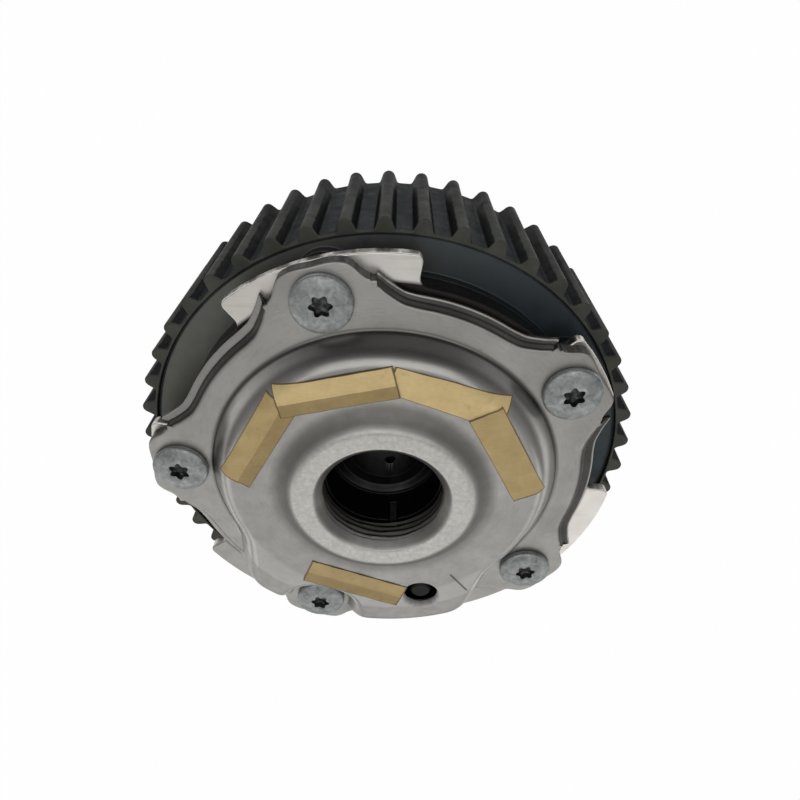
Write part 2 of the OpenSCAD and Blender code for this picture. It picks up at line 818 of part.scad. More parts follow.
// Body of the bulge, drawn inside its outer faces by an inset
module bulge_body(inset, z_top, z_foot) {
    lean = bulge_lean / dome_h;
    root = ceiling_r - 4 * sheet_t;
    grow = inset * tan(30);
    difference() {
        intersection() {
            rotate_extrude()
                polygon([
                    [root, z_foot],
                    [bulge_r - inset + lean * (z_top - z_foot), z_foot],
                    [bulge_r - inset, z_top],
                    [root, z_top]
                ]);
            leaning_side(bulge_from, bulge_side, inset, z_top, z_foot);
            leaning_side(bulge_to, bulge_side, inset, z_top, z_foot);
            rotate([0, 0, (bulge_from + bulge_to) / 2])
                translate([-reach, -reach, z_foot - cut])
                    cube([2 * reach, reach - root / 2, z_top - z_foot + 2 * cut]);
        }
        around(scallop_angle, screw_circle_r, z_flange)
            cylinder(r1 = scallop_foot_r + inset - grow, r2 = scallop_top_r + inset - grow, h = dome_h);
        if (inset > 0) {
            around(scallop_angle, screw_circle_r, z_foot - cut)
                cylinder(r = scallop_foot_r + inset - grow, h = z_flange - z_foot + 2 * cut);
        }
    }
}

// Room inside the dome, which the bulge's body would fill
module dome_room() {
    z_top = z_ceiling - bulge_roof_extra / 2;
    z_foot = z_trigger - cut;
    top_r = ceiling_r - wall_inset / 4;
    rotate_extrude()
        polygon([
            [neck_bore_r + neck_wall + cut, z_foot],
            [top_r + dome_lean / dome_h * (z_top - z_foot), z_foot],
            [top_r, z_top],
            [neck_bore_r + neck_wall + cut, z_top]
        ]);
}

// One ear, which runs into the flat of the flange
module ear() {
    foot_r = flange_r - flange_roll / 2;
    foot_turn = ear_half_angle + asin(ear_fillet_r / (foot_r + ear_fillet_r));
    polygon(concat(
        tab(foot_r, ear_r, -ear_half_angle, ear_half_angle, ear_corner_r, ear_fillet_r),
        [polar(dome_foot_r + foot_fillet, foot_turn)],
        [polar(dome_foot_r + foot_fillet, -foot_turn)]));
}

module front_cover() {
    z_bulge_foot = z_trigger + passing_clearance;
    color("#a39f98")
        difference() {
            union() {
                rotate_extrude()
                    cover_section();
                translate([0, 0, z_trigger])
                    linear_extrude(sheet_t)
                        union() {
                            screw_eyes();
                            for (i = [0:lobe_count - 1]) {
                                rotate(screw_angle + i * lobe_step)
                                    ear();
                            }
                        }
                bulge_body(0, z_plateau, z_bulge_foot);
            }
            bulge_body(wall_inset, z_ceiling - bulge_roof_extra, z_trigger - cut);
            dome_room();
            screw_holes(z_trigger, sheet_t);
            around(spring_pin_angle, spring_pin_circle_r, z_ceiling - cut)
                cylinder(r = bulge_hole_r, h = sheet_t + 2 * cut);
        }
}

module recess_outline() {
    lobe_r = recess_r * 0.28;
    circle(recess_r - lobe_r);
    for (k = [0:5]) {
        rotate(k * 60)
            translate([recess_r - lobe_r, 0])
                circle(lobe_r, $fn = 24);
    }
}

module screw() {
    dome_r = (screw_head_r ^ 2 + screw_dome_h ^ 2) / (2 * screw_dome_h);
    dome_half_angle = asin(screw_head_r / dome_r);
    z_dome = z_flange + screw_rim_h;
    head_h = screw_rim_h + screw_dome_h;
    difference() {
        rotate_extrude()
            polygon(concat(
                [[0, screw_end], [screw_r - edge_round, screw_end], [screw_r, screw_end + edge_round]],
                [[screw_r, z_flange], [screw_head_r, z_flange]],
                arc([0, z_dome + screw_dome_h - dome_r], dome_r, 90 - dome_half_angle, 90, 6)));
        translate([0, 0, z_flange + head_h - recess_depth])
            linear_extrude(recess_depth + cut)
                recess_outline();
    }
}

module cover_screws() {
    color("#8a8d8b")
        at_screws()
            screw();
}

module tape_outline(i) {
    place = tape_places[i];
    rotate(place[0])
        translate([0, -tape_circle_r - place[2]])
            rotate(place[1])
                square([tape_l, tape_w], center = true);
}

// A strip stuck to the dome: it follows the dome's shoulder, and its neighbour lies over its end
module tape(i) {
    color("#b99c62")
        difference() {
            intersection() {
                translate([0, 0, z_flange])
                    linear_extrude(dome_h + 2 * tape_t)
                        difference() {
                            tape_outline(i);
                            if (i == 0 || i == 2) {
                                tape_outline(1);
                            }
                            if (i == 2) {
                                tape_outline(3);
                            }
                        }
                translate([0, 0, tape_t])
                    tape_ground();
            }
            tape_ground();
        }
}

// The cover's outer form where the tape is stuck
module tape_ground() {
    rotate_extrude()
        polygon(rounded([
            [boss_foot_r - crease_fillet, z_flange - sheet_t, 0],
            [dome_foot_r, z_flange - sheet_t, 0],
            [dome_foot_r, z_flange, 0],
            [dome_shoulder_r, z_plateau, shoulder_round],
            [boss_foot_r - crease_fillet, z_plateau, 0]
        ]));
    bulge_body(0, z_plateau, z_flange - sheet_t);
}

pulley_housing();
rear_plate();
rear_seal();
rotor();
vane(0);  // vane_1
vane(1);  // vane_2
vane(2);  // vane_3
vane(3);  // vane_4
vane(4);  // vane_5
vane_spring(0);  // vane_spring_1
vane_spring(1);  // vane_spring_2
vane_spring(2);  // vane_spring_3
vane_spring(3);  // vane_spring_4
vane_spring(4);  // vane_spring_5
lock_pin();
lock_pin_spring();
lock_pin_cap();
front_plate();
plate_seal();
trigger_wheel();
return_spring();
spring_pin();
front_cover();
cover_screws();
tape(0);  // tape_1
tape(1);  // tape_2
tape(2);  // tape_3
tape(3);  // tape_4
tape(4);  // tape_5
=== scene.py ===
import math

import bmesh
import bpy
import numpy as np
from mathutils import Matrix, Vector


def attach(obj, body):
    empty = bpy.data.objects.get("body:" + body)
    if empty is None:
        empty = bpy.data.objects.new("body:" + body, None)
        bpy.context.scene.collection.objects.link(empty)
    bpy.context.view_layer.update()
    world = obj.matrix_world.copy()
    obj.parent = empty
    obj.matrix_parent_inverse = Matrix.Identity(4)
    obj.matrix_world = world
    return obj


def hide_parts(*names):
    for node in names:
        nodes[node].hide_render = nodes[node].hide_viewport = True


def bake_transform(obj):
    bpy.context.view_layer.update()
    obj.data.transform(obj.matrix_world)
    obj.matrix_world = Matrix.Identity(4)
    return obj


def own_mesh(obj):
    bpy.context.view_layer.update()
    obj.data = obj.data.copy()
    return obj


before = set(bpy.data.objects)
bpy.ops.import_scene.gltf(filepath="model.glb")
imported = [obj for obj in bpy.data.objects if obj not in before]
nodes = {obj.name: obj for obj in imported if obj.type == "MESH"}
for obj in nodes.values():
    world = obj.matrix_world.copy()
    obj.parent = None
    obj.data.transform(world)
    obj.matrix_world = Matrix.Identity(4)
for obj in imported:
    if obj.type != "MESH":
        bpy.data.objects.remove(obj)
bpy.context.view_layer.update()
MM = 0.001

# Sizes of the cover and the teeth in millimetres, the same as in the solids
SCREW_CIRCLE_R = 46.0
SCREW_STEP = 72
SCREW_ANGLES = [16.65 + SCREW_STEP * k for k in range(5)]
Z_RIM = 34.0
Z_TRIGGER = 41.2
Z_FLANGE = 44.2
DOME_H = 5.5
Z_PLATEAU = Z_FLANGE + DOME_H
Z_BOSS = 52.2
SHEET_T = 3.0
SHOULDER_R = 34.9
DOME_LEAN = 3.85
BOSS_FOOT_R = 22.9
BOSS_R = 19.6
BORE_R = 13.35
BULGE_R = 45.0
BULGE_LEAN = 3.3
BULGE_SIDE = 31.0
BULGE_FROM = 90.0
BULGE_TO = 254.0
SCALLOP_R = 10.8
HOLE_R = 4.2
HOLE_CIRCLE_R = 35.5
HOLE_ANGLE = 197.4

# The bulge's straight back, its distance from the axis, and how softly the bulge's edges run together
BULGE_BACK = 11.5
SIDE_CORNER = 2.5
BACK_CORNER = 2.0
SCALLOP_CORNER = 1.6
DOME_CORNER = 0.5

# How round the dome's shoulder and foot and the boss's foot and edge are, as shares of their slopes
SHOULDER_SOFT = 0.5
FOOT_SOFT = 0.06
BOSS_FOOT_SOFT = 0.42
BOSS_EDGE_SOFT = 0.2

# Shallow hollow in the dome's top round the boss
HOLLOW_R = 24.0
HOLLOW_W = 1.8
HOLLOW_DEPTH = 0.3


def polar(r, phi):
    """Point at a distance from the axis and an angle in degrees from the side that faces the viewer."""
    a = np.radians(phi)
    return r * np.sin(a), -r * np.cos(a)


def smooth_min(a, b, k):
    h = np.clip(0.5 + 0.5 * (b - a) / k, 0, 1)
    return b * (1 - h) + a * h - k * h * (1 - h)


def smooth_max(a, b, k):
    return -smooth_min(-a, -b, k)


def soft_ramp(u, w):
    """Zero below -w, u above w, and a parabola between them."""
    return np.where(u <= -w, 0, np.where(u >= w, u, (np.clip(u, -w, w) + w) ** 2 / (4 * w)))


def soft_step(t):
    t = np.clip(t, 0, 1)
    return t * t * t * (t * (6 * t - 15) + 10)


def soft_curve(x, corners):
    """Smooth curve through (x, y) points, level beyond its ends."""
    xs, ys = np.array(corners, float).T
    slope = np.gradient(ys, xs)
    slope[0] = slope[-1] = 0
    i = np.clip(np.searchsorted(xs, x) - 1, 0, len(xs) - 2)
    w = xs[i + 1] - xs[i]
    t = np.clip((x - xs[i]) / w, 0, 1)
    return ((1 + 2 * t) * (1 - t) ** 2 * ys[i] + t * (1 - t) ** 2 * w * slope[i]
            + t * t * (3 - 2 * t) * ys[i + 1] + t * t * (t - 1) * w * slope[i + 1])


def wall_share(x, y):
    """Zero on the dome's and the bulge's flat top, one at the foot of their wall."""
    r = np.hypot(x, y)
    dome = (r - SHOULDER_R) / DOME_LEAN
    edge = r - BULGE_R
    for phi in (BULGE_FROM, BULGE_TO):
        nx, ny = polar(1, phi)
        edge = smooth_max(edge, x * nx + y * ny - BULGE_SIDE, SIDE_CORNER)
    nx, ny = polar(1, (BULGE_FROM + BULGE_TO) / 2)
    edge = smooth_max(edge, BULGE_BACK - x * nx - y * ny, BACK_CORNER)
    sx, sy = polar(SCREW_CIRCLE_R, SCREW_ANGLES[2])
    edge = smooth_max(edge, SCALLOP_R - np.hypot(x - sx, y - sy), SCALLOP_CORNER)
    return smooth_min(dome, edge / BULGE_LEAN, DOME_CORNER)


def cover_height(x, y):
    """Height of the pressed cover's upper face: flange, dome with its bulge, and raised boss."""
    r = np.hypot(x, y)
    u = wall_share(x, y)
    z = Z_PLATEAU - DOME_H * (soft_ramp(u, SHOULDER_SOFT) - soft_ramp(u - 1, FOOT_SOFT))
    v = (BOSS_FOOT_R - r) / (BOSS_FOOT_R - BOSS_R)
    z = z + (Z_BOSS - Z_PLATEAU) * (soft_ramp(v, BOSS_FOOT_SOFT) - soft_ramp(v - 1, BOSS_EDGE_SOFT))
    return z - HOLLOW_DEPTH * np.exp(-(((r - HOLLOW_R) / HOLLOW_W) ** 2))


# Making objects: points nearer than the weld (metres) are one, and faces within the flat angle are one
WELD = 2e-6
FLAT_ANGLE = 0.6


def add_object(name, mesh, body, material, replaces=()):
    obj = bpy.data.objects.new(name, mesh)
    bpy.context.scene.collection.objects.link(obj)
    if material is not None:
        mesh.materials.clear()
        mesh.materials.append(material)
    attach(obj, body)
    if replaces:
        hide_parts(*replaces)
    return obj


def mesh_from(name, points, faces):
    """Mesh of points in millimetres, shaded smooth."""
    mesh = bpy.data.meshes.new(name)
    mesh.from_pydata([tuple(float(c) * MM for c in p) for p in points], [], faces)
    mesh.polygons.foreach_set("use_smooth", [True] * len(mesh.polygons))
    mesh.update()
    return mesh


def loop_faces(rings, around, first=0):
    """Quads between closed rings of the same number of points."""
    return [
        (first + j * around + i, first + j * around + (i + 1) % around,
         first + (j + 1) * around + (i + 1) % around, first + (j + 1) * around + i)
        for j in range(rings - 1) for i in range(around)
    ]


def softened(name, node, width, body, material, segments=2, angle=32):
    """Copy of a solid with its sharp edges rounded, which stands for it."""
    bm = bmesh.new()
    bm.from_mesh(nodes[node].data)
    bmesh.ops.remove_doubles(bm, verts=bm.verts, dist=WELD)
    bmesh.ops.dissolve_limit(bm, angle_limit=math.radians(FLAT_ANGLE), use_dissolve_boundaries=False,
                             verts=bm.verts, edges=bm.edges)
    mesh = bpy.data.meshes.new(name)
    bm.to_mesh(mesh)
    bm.free()
    mesh.polygons.foreach_set("use_smooth", [True] * len(mesh.polygons))
    obj = add_object(name, mesh, body, material, [node])
    bevel = obj.modifiers.new("edges", "BEVEL")
    bevel.width = width * MM
    bevel.segments = segments
    bevel.limit_method = "ANGLE"
    bevel.angle_limit = math.radians(angle)
    bevel.use_clamp_overlap = False
    normals = obj.modifiers.new("normals", "WEIGHTED_NORMAL")
    normals.keep_sharp = False


# Making materials
class Paint:
    """A node material whose nodes are added by short calls."""

    def __init__(self, name):
        self.mat = bpy.data.materials.new(name)
        self.mat.use_nodes = True
        self.tree = self.mat.node_tree
        self.tree.nodes.clear()
        out = self.tree.nodes.new("ShaderNodeOutputMaterial")
        self.bsdf = self.tree.nodes.new("ShaderNodeBsdfPrincipled")
        self.tree.links.new(self.bsdf.outputs[0], out.inputs[0])
        self.place = self.node("ShaderNodeTexCoord").outputs["Object"]

    def node(self, kind, **inputs):
        n = self.tree.nodes.new(kind)
        for key, value in inputs.items():
            self.put(n, key, value)
        return n

    def put(self, n, key, value):
        socket = n.inputs[key]
        if isinstance(value, bpy.types.NodeSocket):
            self.tree.links.new(value, socket)
        else:
            socket.default_value = value

    def set(self, **inputs):
        for key, value in inputs.items():
            self.put(self.bsdf, key.replace("_", " "), value)

    def stretched(self, scale, turn=0.0):
        n = self.node("ShaderNodeMapping", Vector=self.place)
        n.inputs["Scale"].default_value = scale
        n.inputs["Rotation"].default_value = (0, 0, math.radians(turn))
        return n.outputs[0]

    def noise(self, scale, detail=4.0, rough=0.55, vector=None, distortion=0.0):
        n = self.node("ShaderNodeTexNoise", Vector=vector or self.place, Scale=scale, Detail=detail,
                      Roughness=rough, Distortion=distortion)
        return n.outputs["Fac"]

    def range(self, value, low, high, to_low=0.0, to_high=1.0):
        n = self.node("ShaderNodeMapRange", Value=value)
        n.inputs["From Min"].default_value = low
        n.inputs["From Max"].default_value = high
        n.inputs["To Min"].default_value = to_low
        n.inputs["To Max"].default_value = to_high
        return n.outputs[0]

    def zone(self, value, rise, fall):
        """Mask that is one between a soft rise and a soft fall, each a pair of limits."""
        return self.math("MULTIPLY", self.range(value, *rise), self.range(value, *fall))

    def math(self, operation, a, b=0.0):
        n = self.tree.nodes.new("ShaderNodeMath")
        n.operation = operation
        for i, value in enumerate((a, b)):
            if isinstance(value, bpy.types.NodeSocket):
                self.tree.links.new(value, n.inputs[i])
            else:
                n.inputs[i].default_value = value
        return n.outputs[0]

    def mix(self, amount, a, b):
        n = self.tree.nodes.new("ShaderNodeMix")
        n.data_type = "RGBA"
        for socket, value in ((n.inputs[0], amount), (n.inputs[6], a), (n.inputs[7], b)):
            if isinstance(value, bpy.types.NodeSocket):
                self.tree.links.new(value, socket)
            else:
                socket.default_value = value if socket.type == "VALUE" else (*value, 1.0)
        return n.outputs[2]

    def radius(self):
        """Distance from the axis in millimetres."""
        split = self.node("ShaderNodeSeparateXYZ", Vector=self.place)
        x2 = self.math("POWER", split.outputs[0], 2.0)
        y2 = self.math("POWER", split.outputs[1], 2.0)
        return self.math("MULTIPLY", self.math("SQRT", self.math("ADD", x2, y2)), 1 / MM)

    def around(self, out, turn):
        """Coordinates that run outwards and round the axis, for marks left by turning."""
        split = self.node("ShaderNodeSeparateXYZ", Vector=self.place)
        angle = self.math("ARCTAN2", split.outputs[1], split.outputs[0])
        join = self.node("ShaderNodeCombineXYZ", X=self.math("MULTIPLY", self.radius(), out),
                         Y=self.math("MULTIPLY", angle, turn))
        return join.outputs[0]

    def axis(self, which):
        """One coordinate in millimetres."""
        split = self.node("ShaderNodeSeparateXYZ", Vector=self.place)
        return self.math("MULTIPLY", split.outputs[which], 1 / MM)

    def height(self):
        """Height over the back in millimetres."""
        return self.axis(2)

    def bump(self, height, strength, distance):
        n = self.node("ShaderNodeBump", Height=height, Strength=strength, Distance=distance * MM)
        self.tree.links.new(n.outputs[0], self.bsdf.inputs["Normal"])


# Where the pulley's finish and painted light change: distances from the axis, and the heights over which
# painted shade darkens the teeth towards the back
TOOTH_FLOOR = (55.05, 55.35)
TOOTH_TIP = (56.9, 57.2)
RIM_FRONT = (53.7, 54.1)
BAND = ((46.0, 46.4), (53.9, 53.7))
REAR_SHADE_HEIGHTS = (3.0, 25.0)

# Where the cover's finish and painted shade change: rings round the axis, and heights in its mouth, at its
# foot and at its lip, where painted shade darkens it
BLASTED_RING = ((14.9, 15.4), (20.6, 19.4))
BOSS_SHADE_RING = ((20.0, 21.2), (25.6, 23.2))
DRAWN_WALL = ((33.2, 34.2), (39.4, 38.9))
FOOT_SHADE_RING = ((38.1, 38.5), (39.5, 38.9))
FOOT_LOW = (45.6, 44.9)
MOUTH = (15.2, 14.6)
MOUTH_LOW = (44.0, 45.0)
MOUTH_DEEP = (50.0, 47.6)
LIP_FROM = (42.0, 42.8)
LIP_TOP = (44.17, 43.95)
LIP_UNDER = (42.2, 42.05)
LEDGE_NEAR, LEDGE_LEFT = 42.43, 42.62

# Scribed line on the bulge: its ends, its half width and how softly it ends
TICK_FROM = (-17.2, 25.3)
TICK_TO = (-22.0, 31.1)
TICK_W = (0.34, 0.18)
TICK_END = 0.3

# Where the trigger wheel is darker: painted shadow on its web under the cover, its rim, its left part and its
# far part
WEB_SHADE_R = (48.2, 47.4)
RIM_DEPTH = (0.2, 0.45)
LEFT_X, LEFT_Y = (15, 22), (6, 14)
FAR_Y = (33, 36)


def sintered_steel():
    """Dark sintered steel: painted highlight on the tooth tips, painted shade on the flanks and towards the
    back, and painted light and shade across the inner band.
    """
    p = Paint("sintered_steel")
    p.set(Metallic=0.6, Specular_IOR_Level=0.2, Specular_Tint=(0.3, 0.31, 0.32, 1.0))
    radius = p.radius()
    height = p.height()
    tip_highlight_radius = p.math("ADD", radius, p.range(p.noise(500, 3), 0.3, 0.7, -0.15, 0.15))
    blotch = p.range(p.noise(120, 5, 0.6), 0.35, 0.68)
    grain = p.noise(2600, 3, 0.6)
    floor = p.mix(blotch, (0.022, 0.026, 0.030), (0.046, 0.049, 0.050))
    # Painted shade: the tooth flanks are nearly black
    flank_shade = p.mix(blotch, (0.003, 0.004, 0.007), (0.009, 0.010, 0.012))
    # Painted highlight: the tooth tips are lighter
    tip_highlight = p.mix(blotch, (0.056, 0.058, 0.052), (0.094, 0.092, 0.080))
    base = p.mix(p.range(radius, *TOOTH_FLOOR), floor, flank_shade)
    base = p.mix(p.range(tip_highlight_radius, *TOOTH_TIP), base, tip_highlight)
    # Painted shade: the teeth darken towards the back
    ragged = p.math("ADD", height, p.range(p.noise(160, 4), 0.3, 0.7, -3.0, 3.0))
    rear_shade = p.range(ragged, *REAR_SHADE_HEIGHTS, 0.62, 0.0)
    base = p.mix(rear_shade, base, (0.008, 0.008, 0.009))
    front = p.math("MULTIPLY", p.range(height, Z_RIM - 0.5, Z_RIM - 0.2), p.range(radius, *RIM_FRONT))
    base = p.mix(front, base, p.mix(blotch, (0.062, 0.063, 0.057), (0.104, 0.102, 0.088)))
    base = p.mix(p.range(grain, 0.45, 0.75, 0.0, 0.2), base, (0.07, 0.07, 0.064))
    band = p.zone(radius, *BAND)
    # The band's own bluish grey, with painted light and shade running from light on one side to dark on the
    # other
    wall = p.mix(p.range(p.axis(0), -25, 25), (0.062, 0.074, 0.082), (0.150, 0.151, 0.138))
    base = p.mix(band, base, wall)
    p.set(Base_Color=base, Roughness=p.range(p.noise(350, 4), 0.3, 0.7, 0.36, 0.56))
    p.bump(p.math("ADD", grain, p.noise(700, 3)), 0.22, 0.06)
    return p.mat


def machined_steel(name, dark, light, rough, rings=9.0):
    """Turned steel with fine rings round the axis."""
    p = Paint(name)
    p.set(Metallic=0.9)
    turn = p.node("ShaderNodeTexWave", Vector=p.place, Scale=rings * 100, Distortion=0.6, Detail=2.0)
    turn.wave_type = "RINGS"
    turn.rings_direction = "Z"
    blotch = p.range(p.noise(90, 5, 0.6), 0.35, 0.68)
    base = p.mix(blotch, dark, light)
    base = p.mix(p.range(p.noise(1500, 3), 0.5, 0.75, 0.0, 0.4), base, dark)
    p.set(Base_Color=base, Roughness=p.range(p.noise(260, 4), 0.3, 0.7, rough - 0.07, rough + 0.1))
    p.bump(turn.outputs["Fac"], 0.16, 0.03)
    return p.mat


def pressed_sheet():
    """Pressed steel sheet: cloudy grey with faint turning marks, a smooth wall and a blasted ring, with
    painted shade on the boss's slope, in the mouth, along the dome's foot and on the lip's bend.
    """
    p = Paint("pressed_sheet")
    p.set(Metallic=1.0)
    radius = p.radius()
    height = p.height()
    cloud = p.range(p.noise(60, 5, 0.6), 0.34, 0.68)
    fine = p.noise(1800, 4, 0.65)
    base = p.mix(cloud, (0.360, 0.350, 0.330), (0.445, 0.437, 0.418))
    drawn = p.zone(radius, *DRAWN_WALL)
    plain = p.math("SUBTRACT", 1.0, drawn)
    spots = p.math("MULTIPLY", p.range(p.noise(420, 5, 0.7), 0.52, 0.72, 0.0, 0.28), plain)
    base = p.mix(spots, base, (0.27, 0.264, 0.25))
    swirl = p.noise(3.2, 3, 0.55, p.around(1.0, 3.0))
    base = p.mix(p.range(swirl, 0.60, 0.74, 0.0, 0.32), base, (0.55, 0.54, 0.52))
    base = p.mix(p.range(swirl, 0.42, 0.30, 0.0, 0.35), base, (0.24, 0.232, 0.218))
    ring = p.zone(radius, *BLASTED_RING)
    mottle = p.range(p.noise(900, 5, 0.75), 0.36, 0.66)
    blasted = p.mix(mottle, (0.50, 0.49, 0.455), (0.68, 0.67, 0.625))
    base = p.mix(p.math("MULTIPLY", ring, 0.85), base, blasted)
    # Painted shade on the boss's slope and round its foot
    boss_shade = p.zone(radius, *BOSS_SHADE_RING)
    base = p.mix(p.math("MULTIPLY", boss_shade, 0.7), base, (0.20, 0.197, 0.185))
    # Painted shade in the mouth and the bore, darker deeper down
    mouth = p.math("MULTIPLY", p.range(radius, *MOUTH), p.range(height, *MOUTH_LOW))
    mouth_shade_depth = p.range(height, *MOUTH_DEEP, 0.45, 0.93)
    base = p.mix(p.math("MULTIPLY", mouth, mouth_shade_depth), base, (0.035, 0.034, 0.029))
    # Painted shade along the crease at the dome's foot
    foot = p.math("MULTIPLY", p.zone(radius, *FOOT_SHADE_RING), p.range(height, *FOOT_LOW))
    base = p.mix(p.math("MULTIPLY", foot, 0.8), base, (0.10, 0.097, 0.09))
    over_ledge = p.math("SUBTRACT", height, p.range(p.axis(0), 2, 12, LEDGE_NEAR, LEDGE_LEFT))
    bend = p.math("MULTIPLY", p.range(height, *LIP_TOP), p.range(over_ledge, 0.0, 0.03))
    bend = p.math("MAXIMUM", bend, p.range(height, *LIP_UNDER))
    bend = p.math("MULTIPLY", bend, p.range(radius, *LIP_FROM))
    shade = p.mix(cloud, (0.040, 0.037, 0.034), (0.080, 0.075, 0.069))
    base = p.mix(p.math("MULTIPLY", bend, 0.93), base, shade)
    base = p.mix(p.math("MULTIPLY", tick(p), 0.8), base, (0.07, 0.06, 0.05))
    rough = p.math("MULTIPLY", p.range(p.noise(300, 5, 0.6), 0.3, 0.7, 0.38, 0.50), plain)
    rough = p.math("ADD", rough, p.math("MULTIPLY", drawn, 0.28))
    rough = p.math("ADD", rough, p.math("MULTIPLY", boss_shade, 0.15))
    p.set(Base_Color=base, Roughness=rough)
    relief = p.math("ADD", p.math("MULTIPLY", fine, 0.5), p.math("MULTIPLY", swirl, 0.8))
    p.bump(p.math("MULTIPLY", relief, plain), 0.09, 0.05)
    return p.mat


def cut_edge(name, dark, light, rough, metallic=0.7):
    """Sheared edge of a sheet: dull, with upright streaks where the metal tore."""
    p = Paint(name)
    p.set(Metallic=metallic)
    streak = p.noise(900, 4, 0.6, p.stretched((1.0, 1.0, 0.12)))
    base = p.mix(p.range(streak, 0.38, 0.64), dark, light)
    p.set(Base_Color=base, Roughness=p.range(p.noise(600, 3), 0.3, 0.7, rough - 0.08, rough + 0.08))
    p.bump(streak, 0.25, 0.05)
    return p.mat


def tick(p):
    """A short scribed line on the bulge, as a mask."""
    (ax, ay), (bx, by) = TICK_FROM, TICK_TO
    half = math.hypot(bx - ax, by - ay) / 2
    n = p.node("ShaderNodeMapping", Vector=p.place)
    n.vector_type = "TEXTURE"
    n.inputs["Location"].default_value = ((ax + bx) / 2 * MM, (ay + by) / 2 * MM, 0)
    n.inputs["Rotation"].default_value = (0, 0, math.atan2(by - ay, bx - ax))
    split = p.node("ShaderNodeSeparateXYZ", Vector=n.outputs[0])
    along = p.math("ABSOLUTE", split.outputs[0])
    across = p.math("ABSOLUTE", split.outputs[1])
    inside = p.range(along, half * MM, (half - TICK_END) * MM)
    return p.math("MULTIPLY", inside, p.range(across, TICK_W[0] * MM, TICK_W[1] * MM))


def bright_sheet():
    """Bright rolled sheet, darker on its left and far parts, with a mottled sheared rim and painted shadow on
    its web under the cover.
    """
    p = Paint("bright_sheet")
    p.set(Metallic=1.0)
    cloud = p.range(p.noise(80, 5, 0.6), 0.34, 0.68)
    base = p.mix(cloud, (0.74, 0.705, 0.65), (0.86, 0.835, 0.79))
    line = p.range(p.noise(800, 3, 0.6, p.stretched((0.08, 1.5, 1.0), 20)), 0.55, 0.72, 0.0, 0.35)
    base = p.mix(line, base, (0.55, 0.515, 0.46))
    # Darker on the left and far parts
    left = p.math("MULTIPLY", p.range(p.axis(0), *LEFT_X), p.range(p.axis(1), *LEFT_Y))
    dull = p.math("MAXIMUM", left, p.range(p.axis(1), *FAR_Y))
    base = p.mix(dull, base, (0.37, 0.36, 0.34))
    rim = p.range(p.height(), Z_TRIGGER - RIM_DEPTH[0], Z_TRIGGER - RIM_DEPTH[1])
    torn = p.range(p.noise(420, 4, 0.65, p.stretched((1.0, 1.0, 0.35))), 0.40, 0.60)
    base = p.mix(rim, base, p.mix(torn, (0.20, 0.185, 0.16), (0.72, 0.69, 0.64)))
    # Painted shadow on the web under the cover
    base = p.mix(p.range(p.radius(), *WEB_SHADE_R), base, (0.030, 0.026, 0.024))
    p.set(Base_Color=base, Roughness=p.range(p.noise(300, 4), 0.3, 0.7, 0.26, 0.42))
    p.bump(p.noise(1500, 3), 0.10, 0.04)
    return p.mat


def zinc_plated():
    """Zinc plating on the screws, with patches and fine crystals."""
    p = Paint("zinc_plated")
    p.set(Metallic=0.85)
    cell = p.node("ShaderNodeTexVoronoi", Vector=p.place, Scale=950.0, Randomness=1.0)
    patch = p.range(p.noise(480, 6, 0.75, None, 0.6), 0.36, 0.64)
    base = p.mix(patch, (0.20, 0.214, 0.212), (0.47, 0.487, 0.475))
    base = p.mix(p.range(cell.outputs["Distance"], 0.1, 0.75, 0.0, 0.35), base, (0.28, 0.297, 0.29))
    p.set(Base_Color=base, Roughness=p.range(p.noise(700, 4), 0.3, 0.7, 0.36, 0.56))
    p.bump(p.math("ADD", patch, p.noise(1600, 3)), 0.14, 0.05)
    return p.mat


def spring_steel():
    """Smooth grey spring steel."""
    p = Paint("spring_steel")
    p.set(Metallic=1.0)
    base = p.mix(p.range(p.noise(200, 4), 0.35, 0.65), (0.26, 0.27, 0.28), (0.42, 0.43, 0.43))
    p.set(Base_Color=base, Roughness=p.range(p.noise(500, 3), 0.3, 0.7, 0.24, 0.38))
    p.bump(p.noise(1200, 3, 0.5, p.stretched((1.0, 1.0, 0.1))), 0.12, 0.03)
    return p.mat


def seal_rubber():
    """Matt black rubber."""
    p = Paint("seal_rubber")
    p.set(Metallic=0.0)
    base = p.mix(p.range(p.noise(600, 4), 0.35, 0.65), (0.010, 0.010, 0.011), (0.022, 0.022, 0.024))
    p.set(Base_Color=base, Roughness=p.range(p.noise(900, 3), 0.3, 0.7, 0.45, 0.65))
    p.bump(p.noise(2500, 3), 0.15, 0.03)
    return p.mat


def masking_tape(name, dark, light):
    """Creped paper tape with fine ripples and darker smudges."""
    p = Paint(name)
    p.set(Metallic=0.0)
    crepe = p.noise(2200, 3, 0.6, p.stretched((0.35, 1.0, 1.0), 20))
    blotch = p.range(p.noise(160, 5, 0.6), 0.34, 0.68)
    base = p.mix(blotch, dark, light)
    smudge = tuple(c * 0.62 for c in dark)
    base = p.mix(p.range(p.noise(330, 6, 0.7), 0.58, 0.76, 0.0, 0.6), base, smudge)
    base = p.mix(p.range(crepe, 0.5, 0.7, 0.0, 0.25), base, tuple(c * 1.12 for c in light))
    p.set(Base_Color=base, Roughness=p.range(p.noise(500, 3), 0.3, 0.7, 0.48, 0.66))
    p.bump(crepe, 0.30, 0.05)
    return p.mat


